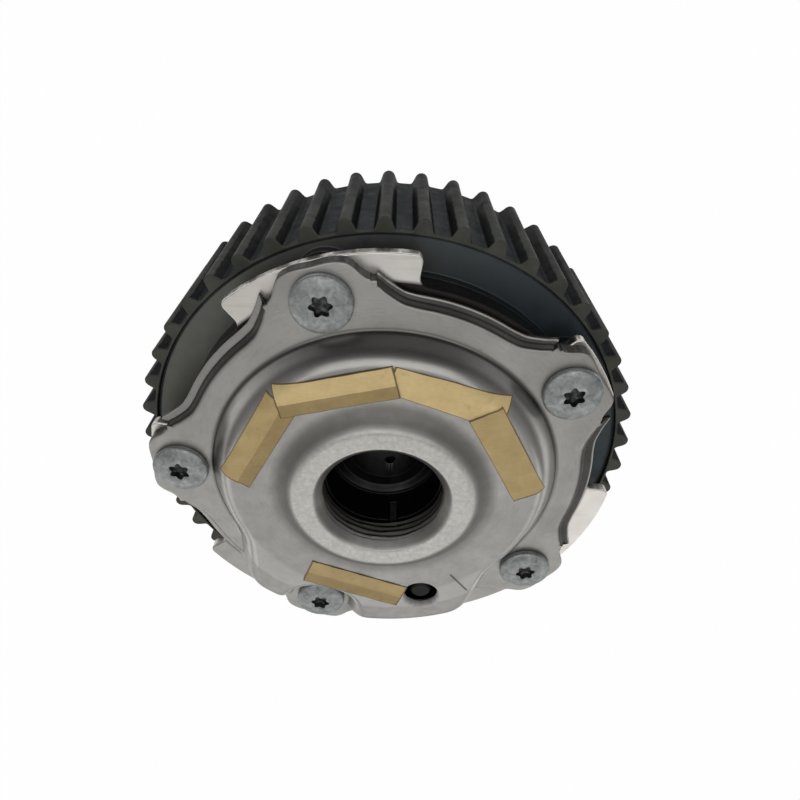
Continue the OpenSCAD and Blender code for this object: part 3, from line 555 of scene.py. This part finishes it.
def floor_paint():
    """Pale floor that shows as white and keeps a faint shadow."""
    p = Paint("floor")
    p.set(Metallic=0.0, Roughness=0.9, Base_Color=(0.9, 0.9, 0.9, 1.0))
    glow = p.node("ShaderNodeEmission", Color=(1.0, 1.0, 1.0, 1.0), Strength=1.0)
    path = p.node("ShaderNodeLightPath")
    seen = p.math("MAXIMUM", path.outputs["Is Camera Ray"], path.outputs["Is Glossy Ray"])
    seen = p.math("MAXIMUM", seen, path.outputs["Is Transmission Ray"])
    blend = p.node("ShaderNodeMixShader", Fac=p.math("MULTIPLY", seen, 0.985))
    p.tree.links.new(p.bsdf.outputs[0], blend.inputs[1])
    p.tree.links.new(glow.outputs[0], blend.inputs[2])
    out = [n for n in p.tree.nodes if n.type == "OUTPUT_MATERIAL"][0]
    p.tree.links.new(blend.outputs[0], out.inputs[0])
    return p.mat


SINTERED = sintered_steel()
MACHINED = machined_steel("machined_steel", (0.26, 0.26, 0.26), (0.37, 0.37, 0.36), 0.34)
# Rotor: blackened sintered steel, painted darker still as the shade seen through the bore
ROTOR_SHADE_STEEL = machined_steel("blackened_steel_in_shade", (0.014, 0.014, 0.016), (0.030, 0.030, 0.031), 0.34)
# Front plate and spring pin, painted near black as the shadow under the cover
SHADE_STEEL = machined_steel("dark_steel", (0.020, 0.020, 0.020), (0.042, 0.041, 0.038), 0.44)
SHEET = pressed_sheet()
# Sheared edges of the ears: torn streaks, painted nearly black as shade
SHADED_EDGE = cut_edge("sheet_edge_shade", (0.015, 0.015, 0.014), (0.075, 0.072, 0.067), 0.5)
# Wall of the hole in the bulge: rough torn edge, painted pale as a lit crescent
HOLE_RIM_LIGHT = cut_edge("hole_rim_highlight", (0.54, 0.53, 0.51), (0.66, 0.65, 0.63), 0.62, 0.25)
BRIGHT = bright_sheet()
ZINC = zinc_plated()
# Screw recesses, painted dark as shade
RECESS_SHADE = cut_edge("screw_recess_shade", (0.022, 0.022, 0.022), (0.11, 0.11, 0.107), 0.42)
SPRING = spring_steel()
RUBBER = seal_rubber()
TAPE_LIGHT = masking_tape("masking_tape", (0.68, 0.508, 0.228), (0.82, 0.627, 0.298))
# A darker copy of the tape's colour, for three of the strips
TAPE_WARM = masking_tape("masking_tape_darker", (0.47, 0.341, 0.142), (0.59, 0.436, 0.191))
# Painted shade on the part of a strip past its fold
TAPE_SHADE = masking_tape("masking_tape_fold_shade", (0.345, 0.240, 0.093), (0.435, 0.310, 0.128))
# Tape borders and sides: painted shade where the strips step over each other, and grime at their ends
TAPE_EDGE_SHADE = masking_tape("masking_tape_edge_shade", (0.155, 0.098, 0.042), (0.235, 0.160, 0.070))


# The solids that stay as they are, with their finish
VANES = 5
FINISH_OF = {"rear_seal": RUBBER, "plate_seal": RUBBER, "lock_pin": MACHINED, "lock_pin_cap": MACHINED}
for k in range(1, VANES + 1):
    FINISH_OF["vane_%d" % k] = MACHINED
    FINISH_OF["vane_spring_%d" % k] = SPRING
for name, material in FINISH_OF.items():
    mesh = nodes[name].data
    mesh.materials.clear()
    mesh.materials.append(material)


# Rigid pieces with rounded edges
softened("pulley_body", "pulley_housing", 0.28, "housing", SINTERED, 2, 40)
softened("rear_disc", "rear_plate", 0.25, "housing", MACHINED)
softened("rotor_body", "rotor", 0.25, "rotor", ROTOR_SHADE_STEEL)
softened("stack_plate", "front_plate", 0.25, "housing", SHADE_STEEL)
softened("trigger_ring", "trigger_wheel", 0.3, "housing", BRIGHT, 3)
softened("spring_post", "spring_pin", 0.2, "housing", SHADE_STEEL)


def lock_coil():
    """Lock pin's spring, copied onto the rotor's body with the spring-steel finish."""
    mesh = nodes["lock_pin_spring"].data.copy()
    obj = add_object("lock_coil", mesh, "rotor", SPRING, ["lock_pin_spring"])
    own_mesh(obj)


def return_coil():
    """Return spring, copied with the spring-steel finish."""
    mesh = nodes["return_spring"].data.copy()
    mesh.materials.clear()
    mesh.materials.append(SPRING)
    obj = bpy.data.objects.new("return_coil", mesh)
    bpy.context.scene.collection.objects.link(obj)
    true_places = [v.co.copy() for v in mesh.vertices]
    # The shares go by distance from the axis, but the blend measures along a straight line: the points are
    # laid on that line by their distance for the call alone, and put back after it
    for v in mesh.vertices:
        v.co = (math.hypot(v.co.x, v.co.y), 0, 0)
    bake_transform(obj)
    for v, place in zip(mesh.vertices, true_places):
        v.co = place
    mesh.update()
    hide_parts("return_spring")


lock_coil()
return_coil()


# Pressed cover: ears with round corners, a relief notch at each side of an ear, and a rolled lip between the
# ears. The edges of an ear and of the flat before a lip are pairs of an angle from the nearest screw and a
# radius. There is one lip width for each gap between screws and one shortening for each ear.
EAR_EDGE = [(0, 53.4), (5.6, 53.4), (7.2, 53.0), (8.6, 52.0), (9.8, 50.7), (10.8, 49.9), (11.8, 49.5)]
FLAT_EDGE = [(13.0, 47.3), (15.5, 45.75), (17.2, 44.8), (19.4, 43.8), (22.5, 43.25), (26.0, 43.1)]
LIP_WIDTHS = [3.7, 3.5, 3.5, 4.3, 2.7]
NOTCH_FROM, NOTCH_TO, NOTCH_R = 11.9, 13.3, 49.2
EAR_SHORT = [0, 0.8, 0, 0, 0.9]
EAR_SHORT_SPAN = 11
WALL_DROP = 1.6
LIP_CORNER = 0.8

# Profiles of the edge from its lower corner inwards, with heights: shares of the lip's width, and insets from
# the ear's edge
LIP_PROFILE = [(0.0, 41.25), (0.0, 42.0), (0.03, 42.32), (0.11, 42.45), (0.34, 42.52), (0.42, 42.65),
               (0.52, 43.1), (0.61, 43.6), (0.71, 43.95), (0.82, 44.13), (0.92, 44.19), (1.0, 44.2)]
EAR_ROUND = 0.45
EAR_RUN = 1.2
EAR_PROFILE = [(0.0, 41.25), (0.0, 42.0), (0.0, 42.6), (0.0, 43.1), (0.0, 43.5), (0.0, Z_FLANGE - EAR_ROUND)]
EAR_PROFILE += [(EAR_ROUND * (1 - math.cos(a)), Z_FLANGE - EAR_ROUND * (1 - math.sin(a)))
                for a in np.radians([18, 36, 54, 72, 90])]
EAR_PROFILE += [(EAR_RUN, Z_FLANGE)]
EDGE_RINGS = 6

# Rings of the cover over its upper face, the chamfered mouth of its neck, its thread and its underside
FLAT_IN_R = 42.8
FLAT_RINGS = 7
TOP_RINGS = np.concatenate([np.arange(42.4, 39.4, -0.5), [39.05, 38.75, 38.45], np.arange(38.1, 32.0, -0.35),
                            np.arange(32.0, 26.5, -0.9), np.arange(26.4, 18.4, -0.35),
                            np.arange(18.2, 15.7, -0.6)])
MOUTH_RINGS = [(15.5, 52.2), (15.28, 52.14), (15.1, 52.0), (14.4, 51.3), (13.75, 50.65), (13.55, 50.42)]
THREAD_TOP, THREAD_END, THREAD_STEP = 50.2, 45.1, -0.16
THREAD_PITCH = 1.5
THREAD_DEPTH = 0.55
THREAD_SLOPE, THREAD_CREST = 1.3, 0.15
NECK_END_RINGS = [(BORE_R + 0.2, 44.95), (BORE_R + 0.4, 44.9), (16.2, 44.9), (16.35, 45.1)]
UNDER_RINGS = np.concatenate([[16.4], np.arange(18, 30, 3.0), np.arange(30, 45, 1.0)])
UNDER_GAP = 0.02

# Angles of the cover's points: one degree apart, and these steps from a screw where its ear ends
EAR_ZONE = (4.8, 24.2)
NOTCH_STEPS = [11.85, 11.95, 12.25, 12.55, 12.65, 12.95, 13.25, 13.35]
EAR_STEPS = np.concatenate([np.arange(5.0, 11.8, 0.6), NOTCH_STEPS, np.arange(13.7, 24.0, 0.6)])


def angle_between(a, b):
    return np.abs((a - b + 180) % 360 - 180)


def ear_shape(phi):
    """Outline radius, lip share and lip width of the cover at each angle."""
    off = angle_between(phi[:, None], np.array(SCREW_ANGLES)[None, :])
    nearest = off.min(axis=1)
    short = np.array(EAR_SHORT)[off.argmin(axis=1)]
    ear = soft_curve(nearest, EAR_EDGE) - short * (1 - soft_step(nearest / EAR_SHORT_SPAN))
    step = 0.1
    reach = np.arange(30.0, 52.0, step)
    x, y = polar(reach[None, :], phi[:, None])
    foot = reach[0] + step * (wall_share(x, y) < 1).sum(axis=1)
    width = np.array(LIP_WIDTHS)[(((phi - SCREW_ANGLES[0]) % 360) // SCREW_STEP).astype(int)]
    lip = smooth_max(soft_curve(nearest, FLAT_EDGE) + width, foot + WALL_DROP, LIP_CORNER)
    r = np.where(nearest < NOTCH_FROM, ear, np.where(nearest > NOTCH_TO, lip, NOTCH_R))
    return r, np.where(nearest > NOTCH_TO, 1.0, 0.0), width


def cover_angles():
    """Angles of the cover's points, in order."""
    phi = set(np.arange(0, 360, 1.0).tolist())
    for a in SCREW_ANGLES:
        phi = {b for b in phi if not EAR_ZONE[0] < angle_between(b, a) < EAR_ZONE[1]}
        phi |= {round((a + side * d) % 360, 3) for side in (-1, 1) for d in EAR_STEPS}
    return np.array(sorted(phi))


def cover_rings(phi, out_r, lip, width):
    """Closed rings of points from the cover's outer edge over its top, down its neck and back under it."""
    n = len(phi)
    rings = []

    def ring(r, z):
        x, y = polar(np.broadcast_to(r, (n,)), phi)
        rings.append(np.stack([x, y, np.broadcast_to(z, (n,))], axis=1))

    for (lip_in, lip_z), (ear_in, ear_z) in zip(LIP_PROFILE, EAR_PROFILE):
        r = out_r - (lip * lip_in * width + (1 - lip) * ear_in)
        z = lip * lip_z + (1 - lip) * ear_z
        ring(r, z + np.maximum(cover_height(*polar(r, phi)) - Z_FLANGE, 0))
    start = out_r - (lip * width + (1 - lip) * EAR_RUN)
    for t in np.linspace(0, 1, FLAT_RINGS)[1:]:
        r = start + (FLAT_IN_R - start) * t
        ring(r, cover_height(*polar(r, phi)))
    for r in TOP_RINGS:
        ring(r, cover_height(*polar(r, phi)))
    for r, z in MOUTH_RINGS:
        ring(r, z)
    for z in np.arange(THREAD_TOP, THREAD_END, THREAD_STEP):
        turn = (z / THREAD_PITCH - phi / 360) % 1
        depth = np.clip(np.abs(turn - 0.5) * 2 * THREAD_SLOPE - THREAD_CREST, 0, 1)
        ring(BORE_R + THREAD_DEPTH * depth, z)
    for r, z in NECK_END_RINGS:
        ring(r, z)
    for r in UNDER_RINGS:
        under = np.minimum(cover_height(*polar(r, phi)), Z_PLATEAU) - SHEET_T
        ring(r, np.maximum(under, Z_TRIGGER + UNDER_GAP))
    return rings


def cover_piece():
    phi = cover_angles()
    n = len(phi)
    out_r, lip, width = ear_shape(phi)
    rings = cover_rings(phi, out_r, lip, width)
    faces = loop_faces(len(rings), n)
    last = (len(rings) - 1) * n
    faces += [(last + i, last + (i + 1) % n, (i + 1) % n, i) for i in range(n)]
    mesh = mesh_from("cover_shell", np.concatenate(rings), faces)
    bm = bmesh.new()
    bm.from_mesh(mesh)
    bmesh.ops.recalc_face_normals(bm, faces=bm.faces)
    bm.to_mesh(mesh)
    bm.free()
    obj = add_object("cover_shell", mesh, "housing", SHEET, ["front_cover"])
    mesh.materials.append(SHADED_EDGE)
    # The ears' edge faces take the edge finish with its painted shade
    flat = (lip == 0) & (np.roll(lip, -1) == 0)
    shades = [1 if f < EDGE_RINGS * n and flat[f % n] else 0 for f in range(len(mesh.polygons))]
    mesh.polygons.foreach_set("material_index", shades)
    cut_hole(obj)


# Cutter of the hole: distances from the hole's radius and from the dome's top, wider again under the sheet
HOLE_PROFILE = [(1.3, -7.2), (1.3, -1.9), (0, -1.6), (0, -1.1), (0.12, -0.7), (0.28, -0.38), (0.52, -0.12),
                (0.8, 0.02), (1.3, 0.3)]
HOLE_POINTS = 64
COVER_SHARP = 40


def cut_hole(obj):
    """Cuts the bulge's round hole, with a rounded mouth and room for the pin under the sheet."""
    hx, hy = polar(HOLE_CIRCLE_R, HOLE_ANGLE)
    a = np.radians(np.arange(HOLE_POINTS) * 360 / HOLE_POINTS)
    points = []
    for out, drop in HOLE_PROFILE:
        r = HOLE_R + out
        points += [(hx + r * math.cos(t), hy + r * math.sin(t), Z_PLATEAU + drop) for t in a]
    last = (len(HOLE_PROFILE) - 1) * HOLE_POINTS
    faces = loop_faces(len(HOLE_PROFILE), HOLE_POINTS)
    faces += [tuple(range(HOLE_POINTS - 1, -1, -1)), tuple(range(last, last + HOLE_POINTS))]
    mesh = mesh_from("hole_cutter", points, faces)
    mesh.materials.append(HOLE_RIM_LIGHT)
    cutter = bpy.data.objects.new("hole_cutter", mesh)
    bpy.context.scene.collection.objects.link(cutter)
    cut = obj.modifiers.new("hole", "BOOLEAN")
    cut.object = cutter
    cut.operation = "DIFFERENCE"
    cut.solver = "EXACT"
    cut.material_mode = "TRANSFER"
    bpy.context.view_layer.update()
    graph = bpy.context.evaluated_depsgraph_get()
    done = bpy.data.meshes.new_from_object(obj.evaluated_get(graph))
    obj.modifiers.clear()
    old = obj.data
    obj.data = done
    done.name = "cover_shell"
    bpy.data.meshes.remove(old)
    bpy.data.objects.remove(cutter)
    bpy.data.meshes.remove(mesh)
    done.polygons.foreach_set("use_smooth", [True] * len(done.polygons))
    done.set_sharp_from_angle(angle=math.radians(COVER_SHARP))


cover_piece()


# Cover screws: low round heads with a six-lobe recess, on plain shanks. The profiles are pairs of a radius
# and a height, the head's and the recess's over the flange; the recess's radii are added to its lobed form.
SCREW_POINTS = 96
LOBE_R, LOBE_DEPTH, LOBES = 1.98, 0.34, 6
SHANK_PROFILE = [(0.02, 1.55), (2.6, 1.55), (2.95, 1.95), (2.95, Z_FLANGE - 0.02)]
HEAD_PROFILE = [(5.9, 0.0), (6.1, 0.1), (6.2, 0.35), (6.2, 1.0), (6.1, 1.22), (5.8, 1.42), (5.3, 1.62),
                (4.6, 1.82), (3.9, 1.98), (3.3, 2.06)]
RECESS_PROFILE = [(0.16, 2.08), (0.05, 2.02), (0.0, 1.9), (-0.02, 0.75)]
RECESS_FLOOR = [(0.9, 0.45), (0.02, 0.35)]
RECESS_SHRINK, RECESS_SHRINK_Z = 0.93, 0.6
RECESS_RINGS = 5
SCREW_TURN, SCREW_TURN_STEP = 7, 23
SCREW_SHARP = 50


def screw_points(cx, cy, turn):
    """Points of a screw and the number of their rings, from the shank's end up and into the recess."""
    a = np.radians(np.arange(SCREW_POINTS) * 360 / SCREW_POINTS)
    lobes = LOBE_R + LOBE_DEPTH * np.cos(LOBES * (a - math.radians(turn)))
    rings = []

    def ring(r, z):
        r = np.broadcast_to(r, (SCREW_POINTS,))
        rings.append(np.stack([cx + r * np.cos(a), cy + r * np.sin(a), np.full(SCREW_POINTS, z)], axis=1))

    for r, z in SHANK_PROFILE:
        ring(r, z)
    for r, z in HEAD_PROFILE:
        ring(r, Z_FLANGE + z)
    for out, z in RECESS_PROFILE:
        ring(lobes + out, Z_FLANGE + z)
    ring((lobes + RECESS_PROFILE[-1][0]) * RECESS_SHRINK, Z_FLANGE + RECESS_SHRINK_Z)
    for r, z in RECESS_FLOOR:
        ring(r, Z_FLANGE + z)
    return np.concatenate(rings), len(rings)


def screws_piece():
    points, faces, shades = [], [], []
    for k, phi in enumerate(SCREW_ANGLES):
        cx, cy = polar(SCREW_CIRCLE_R, phi)
        p, rings = screw_points(cx, cy, SCREW_TURN_STEP * k + SCREW_TURN)
        first = len(points)
        last = first + (rings - 1) * SCREW_POINTS
        points += p.tolist()
        faces += loop_faces(rings, SCREW_POINTS, first)
        faces.append(tuple(first + i for i in range(SCREW_POINTS - 1, -1, -1)))
        faces.append(tuple(last + i for i in range(SCREW_POINTS)))
        shades += [0] * ((rings - 1 - RECESS_RINGS) * SCREW_POINTS)
        shades += [1] * (RECESS_RINGS * SCREW_POINTS) + [0, 1]
    mesh = mesh_from("stack_screws", points, faces)
    mesh.set_sharp_from_angle(angle=math.radians(SCREW_SHARP))
    add_object("stack_screws", mesh, "housing", ZINC, ["cover_screws"])
    mesh.materials.append(RECESS_SHADE)
    mesh.polygons.foreach_set("material_index", shades)


screws_piece()


# Tape strips: angle round the axis, skew, shift off the circle, lift over the strip below, the share of the
# width that is painted darker as the shade of its fold (the inner side where it is positive, the outer side
# where it is negative), how much the outer edge draws in towards one end, and the finish
TAPES = [(63.1, -1.3, 0.0, 0.02, 0.42, 0.0, TAPE_WARM), (20.6, -5.8, -0.8, 0.22, 0.40, 0.0, TAPE_LIGHT),
         (335.9, 5.1, 0.0, 0.02, 0.0, 1.1, TAPE_LIGHT), (296.5, 3.2, -1.0, 0.22, 0.0, 0.0, TAPE_WARM),
         (169.2, -8.7, 0.8, 0.02, -0.45, 0.0, TAPE_WARM)]
TAPE_L = 24.8
TAPE_W = 7.4
TAPE_T = 0.16
TAPE_MIN_T = 0.08
TAPE_CIRCLE_R = 30.0
TAPE_END = 0.3
TAPE_SIDE = 0.14
TAPE_ALONG, TAPE_ACROSS = 61, 23
FOLD_RISE = 0.05
CREASE_H, CREASE_W = 0.10, 0.35
RAGGED_COARSE, RAGGED_FINE = (0.025, 2.1), (0.02, 6.3)
RAGGED_POWER = 8
WAVE_H, WAVE_ALONG, WAVE_ACROSS = 0.05, 0.9, 0.8
TAPE_SHARP = 50


def spaced(size, count, border):
    """Places across a strip: its two edges, and even steps between narrow borders."""
    inner = np.linspace(border - size / 2, size / 2 - border, count - 2)
    return np.concatenate([[-size / 2], inner, [size / 2]])


def tape_surface(k, u, v):
    """Places of a strip's points on the cover, and the heights of its two faces."""
    phi, skew, shift, lift, shaded, taper, _ = TAPES[k]
    uu, vv = np.meshgrid(u, v, indexing="ij")
    vv = vv + taper * np.clip(uu / (TAPE_L / 2), 0, 1) * np.clip(-vv / (TAPE_W / 2), 0, 1)
    ragged = RAGGED_COARSE[0] * np.sin(vv * RAGGED_COARSE[1] + k)
    ragged = ragged + RAGGED_FINE[0] * np.sin(vv * RAGGED_FINE[1] + 2 * k)
    uu = uu + ragged * (np.abs(uu) / (TAPE_L / 2)) ** RAGGED_POWER
    a = math.radians(skew)
    px = uu * math.cos(a) - vv * math.sin(a)
    py = uu * math.sin(a) + vv * math.cos(a) - TAPE_CIRCLE_R - shift
    b = math.radians(phi)
    x = px * math.cos(b) - py * math.sin(b)
    y = px * math.sin(b) + py * math.cos(b)
    seat = cover_height(x, y) + lift
    wave = WAVE_H * np.sin(uu * WAVE_ALONG + k) * np.sin(vv * WAVE_ACROSS + 2 * k)
    top = seat + TAPE_T + wave
    if shaded:
        past_crease = math.copysign(1, shaded) * vv - crease_place(shaded)
        top = top + FOLD_RISE * np.clip(past_crease, 0, None)
        top = top + CREASE_H * np.exp(-((past_crease / CREASE_W) ** 2))
    return x, y, top, np.minimum(seat, top - TAPE_MIN_T)


def crease_place(shaded):
    """Distance of a strip's crease from its middle line."""
    return TAPE_W / 2 - TAPE_W * abs(shaded)


def tape_piece(k):
    shaded, finish = TAPES[k][4], TAPES[k][6]
    u = spaced(TAPE_L, TAPE_ALONG, TAPE_END)
    v = spaced(TAPE_W, TAPE_ACROSS, TAPE_SIDE)
    x, y, top, under = tape_surface(k, u, v)
    n = TAPE_ALONG * TAPE_ACROSS
    points = np.concatenate([np.stack([x, y, z], -1).reshape(n, 3) for z in (top, under)])
    faces, shades = [], []
    for i in range(TAPE_ALONG - 1):
        for j in range(TAPE_ACROSS - 1):
            first = i * TAPE_ACROSS + j
            quad = (first, first + TAPE_ACROSS, first + TAPE_ACROSS + 1, first + 1)
            middle = math.copysign(1, shaded) * (v[j] + v[j + 1]) / 2
            shade = 1 if shaded and middle > crease_place(shaded) else 0
            if i in (0, TAPE_ALONG - 2) or j in (0, TAPE_ACROSS - 2):
                shade = 2
            faces += [quad, tuple(n + c for c in reversed(quad))]
            shades += [shade, shade]
    ends = (TAPE_ALONG - 1) * TAPE_ACROSS
    rim = list(range(0, ends, TAPE_ACROSS)) + list(range(ends, n))
    rim += list(range(ends - 1, 0, -TAPE_ACROSS)) + list(range(TAPE_ACROSS - 2, 0, -1))
    for c, d in zip(rim, rim[1:] + rim[:1]):
        faces.append((d, c, n + c, n + d))
        shades.append(2)
    name = "tape_strip_%d" % (k + 1)
    mesh = mesh_from(name, points, faces)
    add_object(name, mesh, "housing", finish, ["tape_%d" % (k + 1)])
    mesh.materials.append(TAPE_SHADE)
    mesh.materials.append(TAPE_EDGE_SHADE)
    mesh.polygons.foreach_set("material_index", shades)
    mesh.set_sharp_from_angle(angle=math.radians(TAPE_SHARP))


for k in range(len(TAPES)):
    tape_piece(k)


# Floor, light and camera; places and sizes are in metres, angles in degrees
FLOOR_SIZE = 3.0
FLOOR_Z = -0.2 * MM
FAR_SIDE = (0.0, 0.80, 0.60)
LOW_SKY, LOW_SKY_TO = 0.5, 0.45
LAMP_TARGET = (0, 0, 0.04)
WARM_WHITE = (1.0, 0.99, 0.97)
WHITE = (1.0, 1.0, 1.0)
CAMERA_TILT = 56.84
CAMERA_ROLL = 2.59
CAMERA_PLACE = (0, -0.0962, 0.1473)
CAMERA_LENS = 27.37
CAMERA_SENSOR = 36.0
CAMERA_SHIFT = (0.0146, -0.0338)
CAMERA_CLIP = 0.01


def stage():
    corners = [(x * FLOOR_SIZE, y * FLOOR_SIZE, FLOOR_Z) for x, y in ((-1, -1), (1, -1), (1, 1), (-1, 1))]
    mesh = bpy.data.meshes.new("floor")
    mesh.from_pydata(corners, [], [(0, 1, 2, 3)])
    floor = bpy.data.objects.new("floor", mesh)
    bpy.context.scene.collection.objects.link(floor)
    mesh.materials.append(floor_paint())


def area_light(name, place, size, power, colour):
    lamp = bpy.data.lights.new(name, "AREA")
    lamp.shape = "RECTANGLE"
    lamp.size, lamp.size_y = size
    lamp.energy = power
    lamp.color = colour
    obj = bpy.data.objects.new(name, lamp)
    bpy.context.scene.collection.objects.link(obj)
    obj.location = place
    obj.rotation_euler = (Vector(LAMP_TARGET) - Vector(place)).to_track_quat("-Z", "Y").to_euler()


# Brightness of the studio: from 0 for the side behind the viewer to 1 for the far side, and the level there
SKY = [(0.16, 0.04), (0.30, 0.07), (0.46, 0.25), (0.80, 0.39), (0.925, 0.41), (0.97, 0.90), (1.0, 1.02)]


def grey(level):
    return (level, level, level, 1)


def world_light():
    world = bpy.data.worlds.new("studio")
    bpy.context.scene.world = world
    world.use_nodes = True
    tree = world.node_tree
    tree.nodes.clear()
    out = tree.nodes.new("ShaderNodeOutputWorld")
    back = tree.nodes.new("ShaderNodeBackground")
    coord = tree.nodes.new("ShaderNodeTexCoord")
    turn = tree.nodes.new("ShaderNodeVectorMath")
    turn.operation = "DOT_PRODUCT"
    turn.inputs[1].default_value = FAR_SIDE
    ramp = tree.nodes.new("ShaderNodeValToRGB")
    stops = ramp.color_ramp.elements
    for stop, (place, level) in ((stops[0], SKY[0]), (stops[1], SKY[-1])):
        stop.position, stop.color = place, grey(level)
    for place, level in SKY[1:-1]:
        stops.new(place).color = grey(level)
    scale = tree.nodes.new("ShaderNodeMapRange")
    scale.inputs["From Min"].default_value = -1.0
    tree.links.new(coord.outputs["Generated"], turn.inputs[0])
    tree.links.new(turn.outputs["Value"], scale.inputs["Value"])
    tree.links.new(scale.outputs[0], ramp.inputs[0])
    split = tree.nodes.new("ShaderNodeSeparateXYZ")
    tree.links.new(coord.outputs["Generated"], split.inputs[0])
    low = tree.nodes.new("ShaderNodeMapRange")
    low.inputs["From Max"].default_value = LOW_SKY_TO
    low.inputs["To Min"].default_value = LOW_SKY
    tree.links.new(split.outputs[2], low.inputs["Value"])
    tree.links.new(low.outputs[0], back.inputs[1])
    tree.links.new(ramp.outputs[0], back.inputs[0])
    tree.links.new(back.outputs[0], out.inputs[0])


def camera():
    tilt = math.radians(CAMERA_TILT)
    roll = math.radians(CAMERA_ROLL)
    forward = Vector((0, math.cos(tilt), -math.sin(tilt)))
    side = Vector((1, 0, 0))
    up = Vector((0, math.sin(tilt), math.cos(tilt)))
    right = -(side * math.cos(roll) + up * math.sin(roll))
    top = side * math.sin(roll) - up * math.cos(roll)
    data = bpy.data.cameras.new("camera")
    data.sensor_width = CAMERA_SENSOR
    data.lens = CAMERA_LENS
    data.shift_x, data.shift_y = CAMERA_SHIFT
    data.clip_start = CAMERA_CLIP
    obj = bpy.data.objects.new("camera", data)
    bpy.context.scene.collection.objects.link(obj)
    basis = Matrix((right, top, -forward)).transposed().to_4x4()
    obj.matrix_world = Matrix.Translation(CAMERA_PLACE) @ basis
    bpy.context.scene.camera = obj


stage()
world_light()
area_light("far_left", (0.52, 0.54, 0.33), (0.5, 0.4), 0.5, WARM_WHITE)
area_light("far_right", (-0.52, 0.54, 0.33), (0.5, 0.4), 0.5, WARM_WHITE)
area_light("near", (0.0, -0.24, 0.57), (0.8, 0.45), 1.0, WHITE)
camera()
bpy.context.scene.view_settings.view_transform = "Standard"
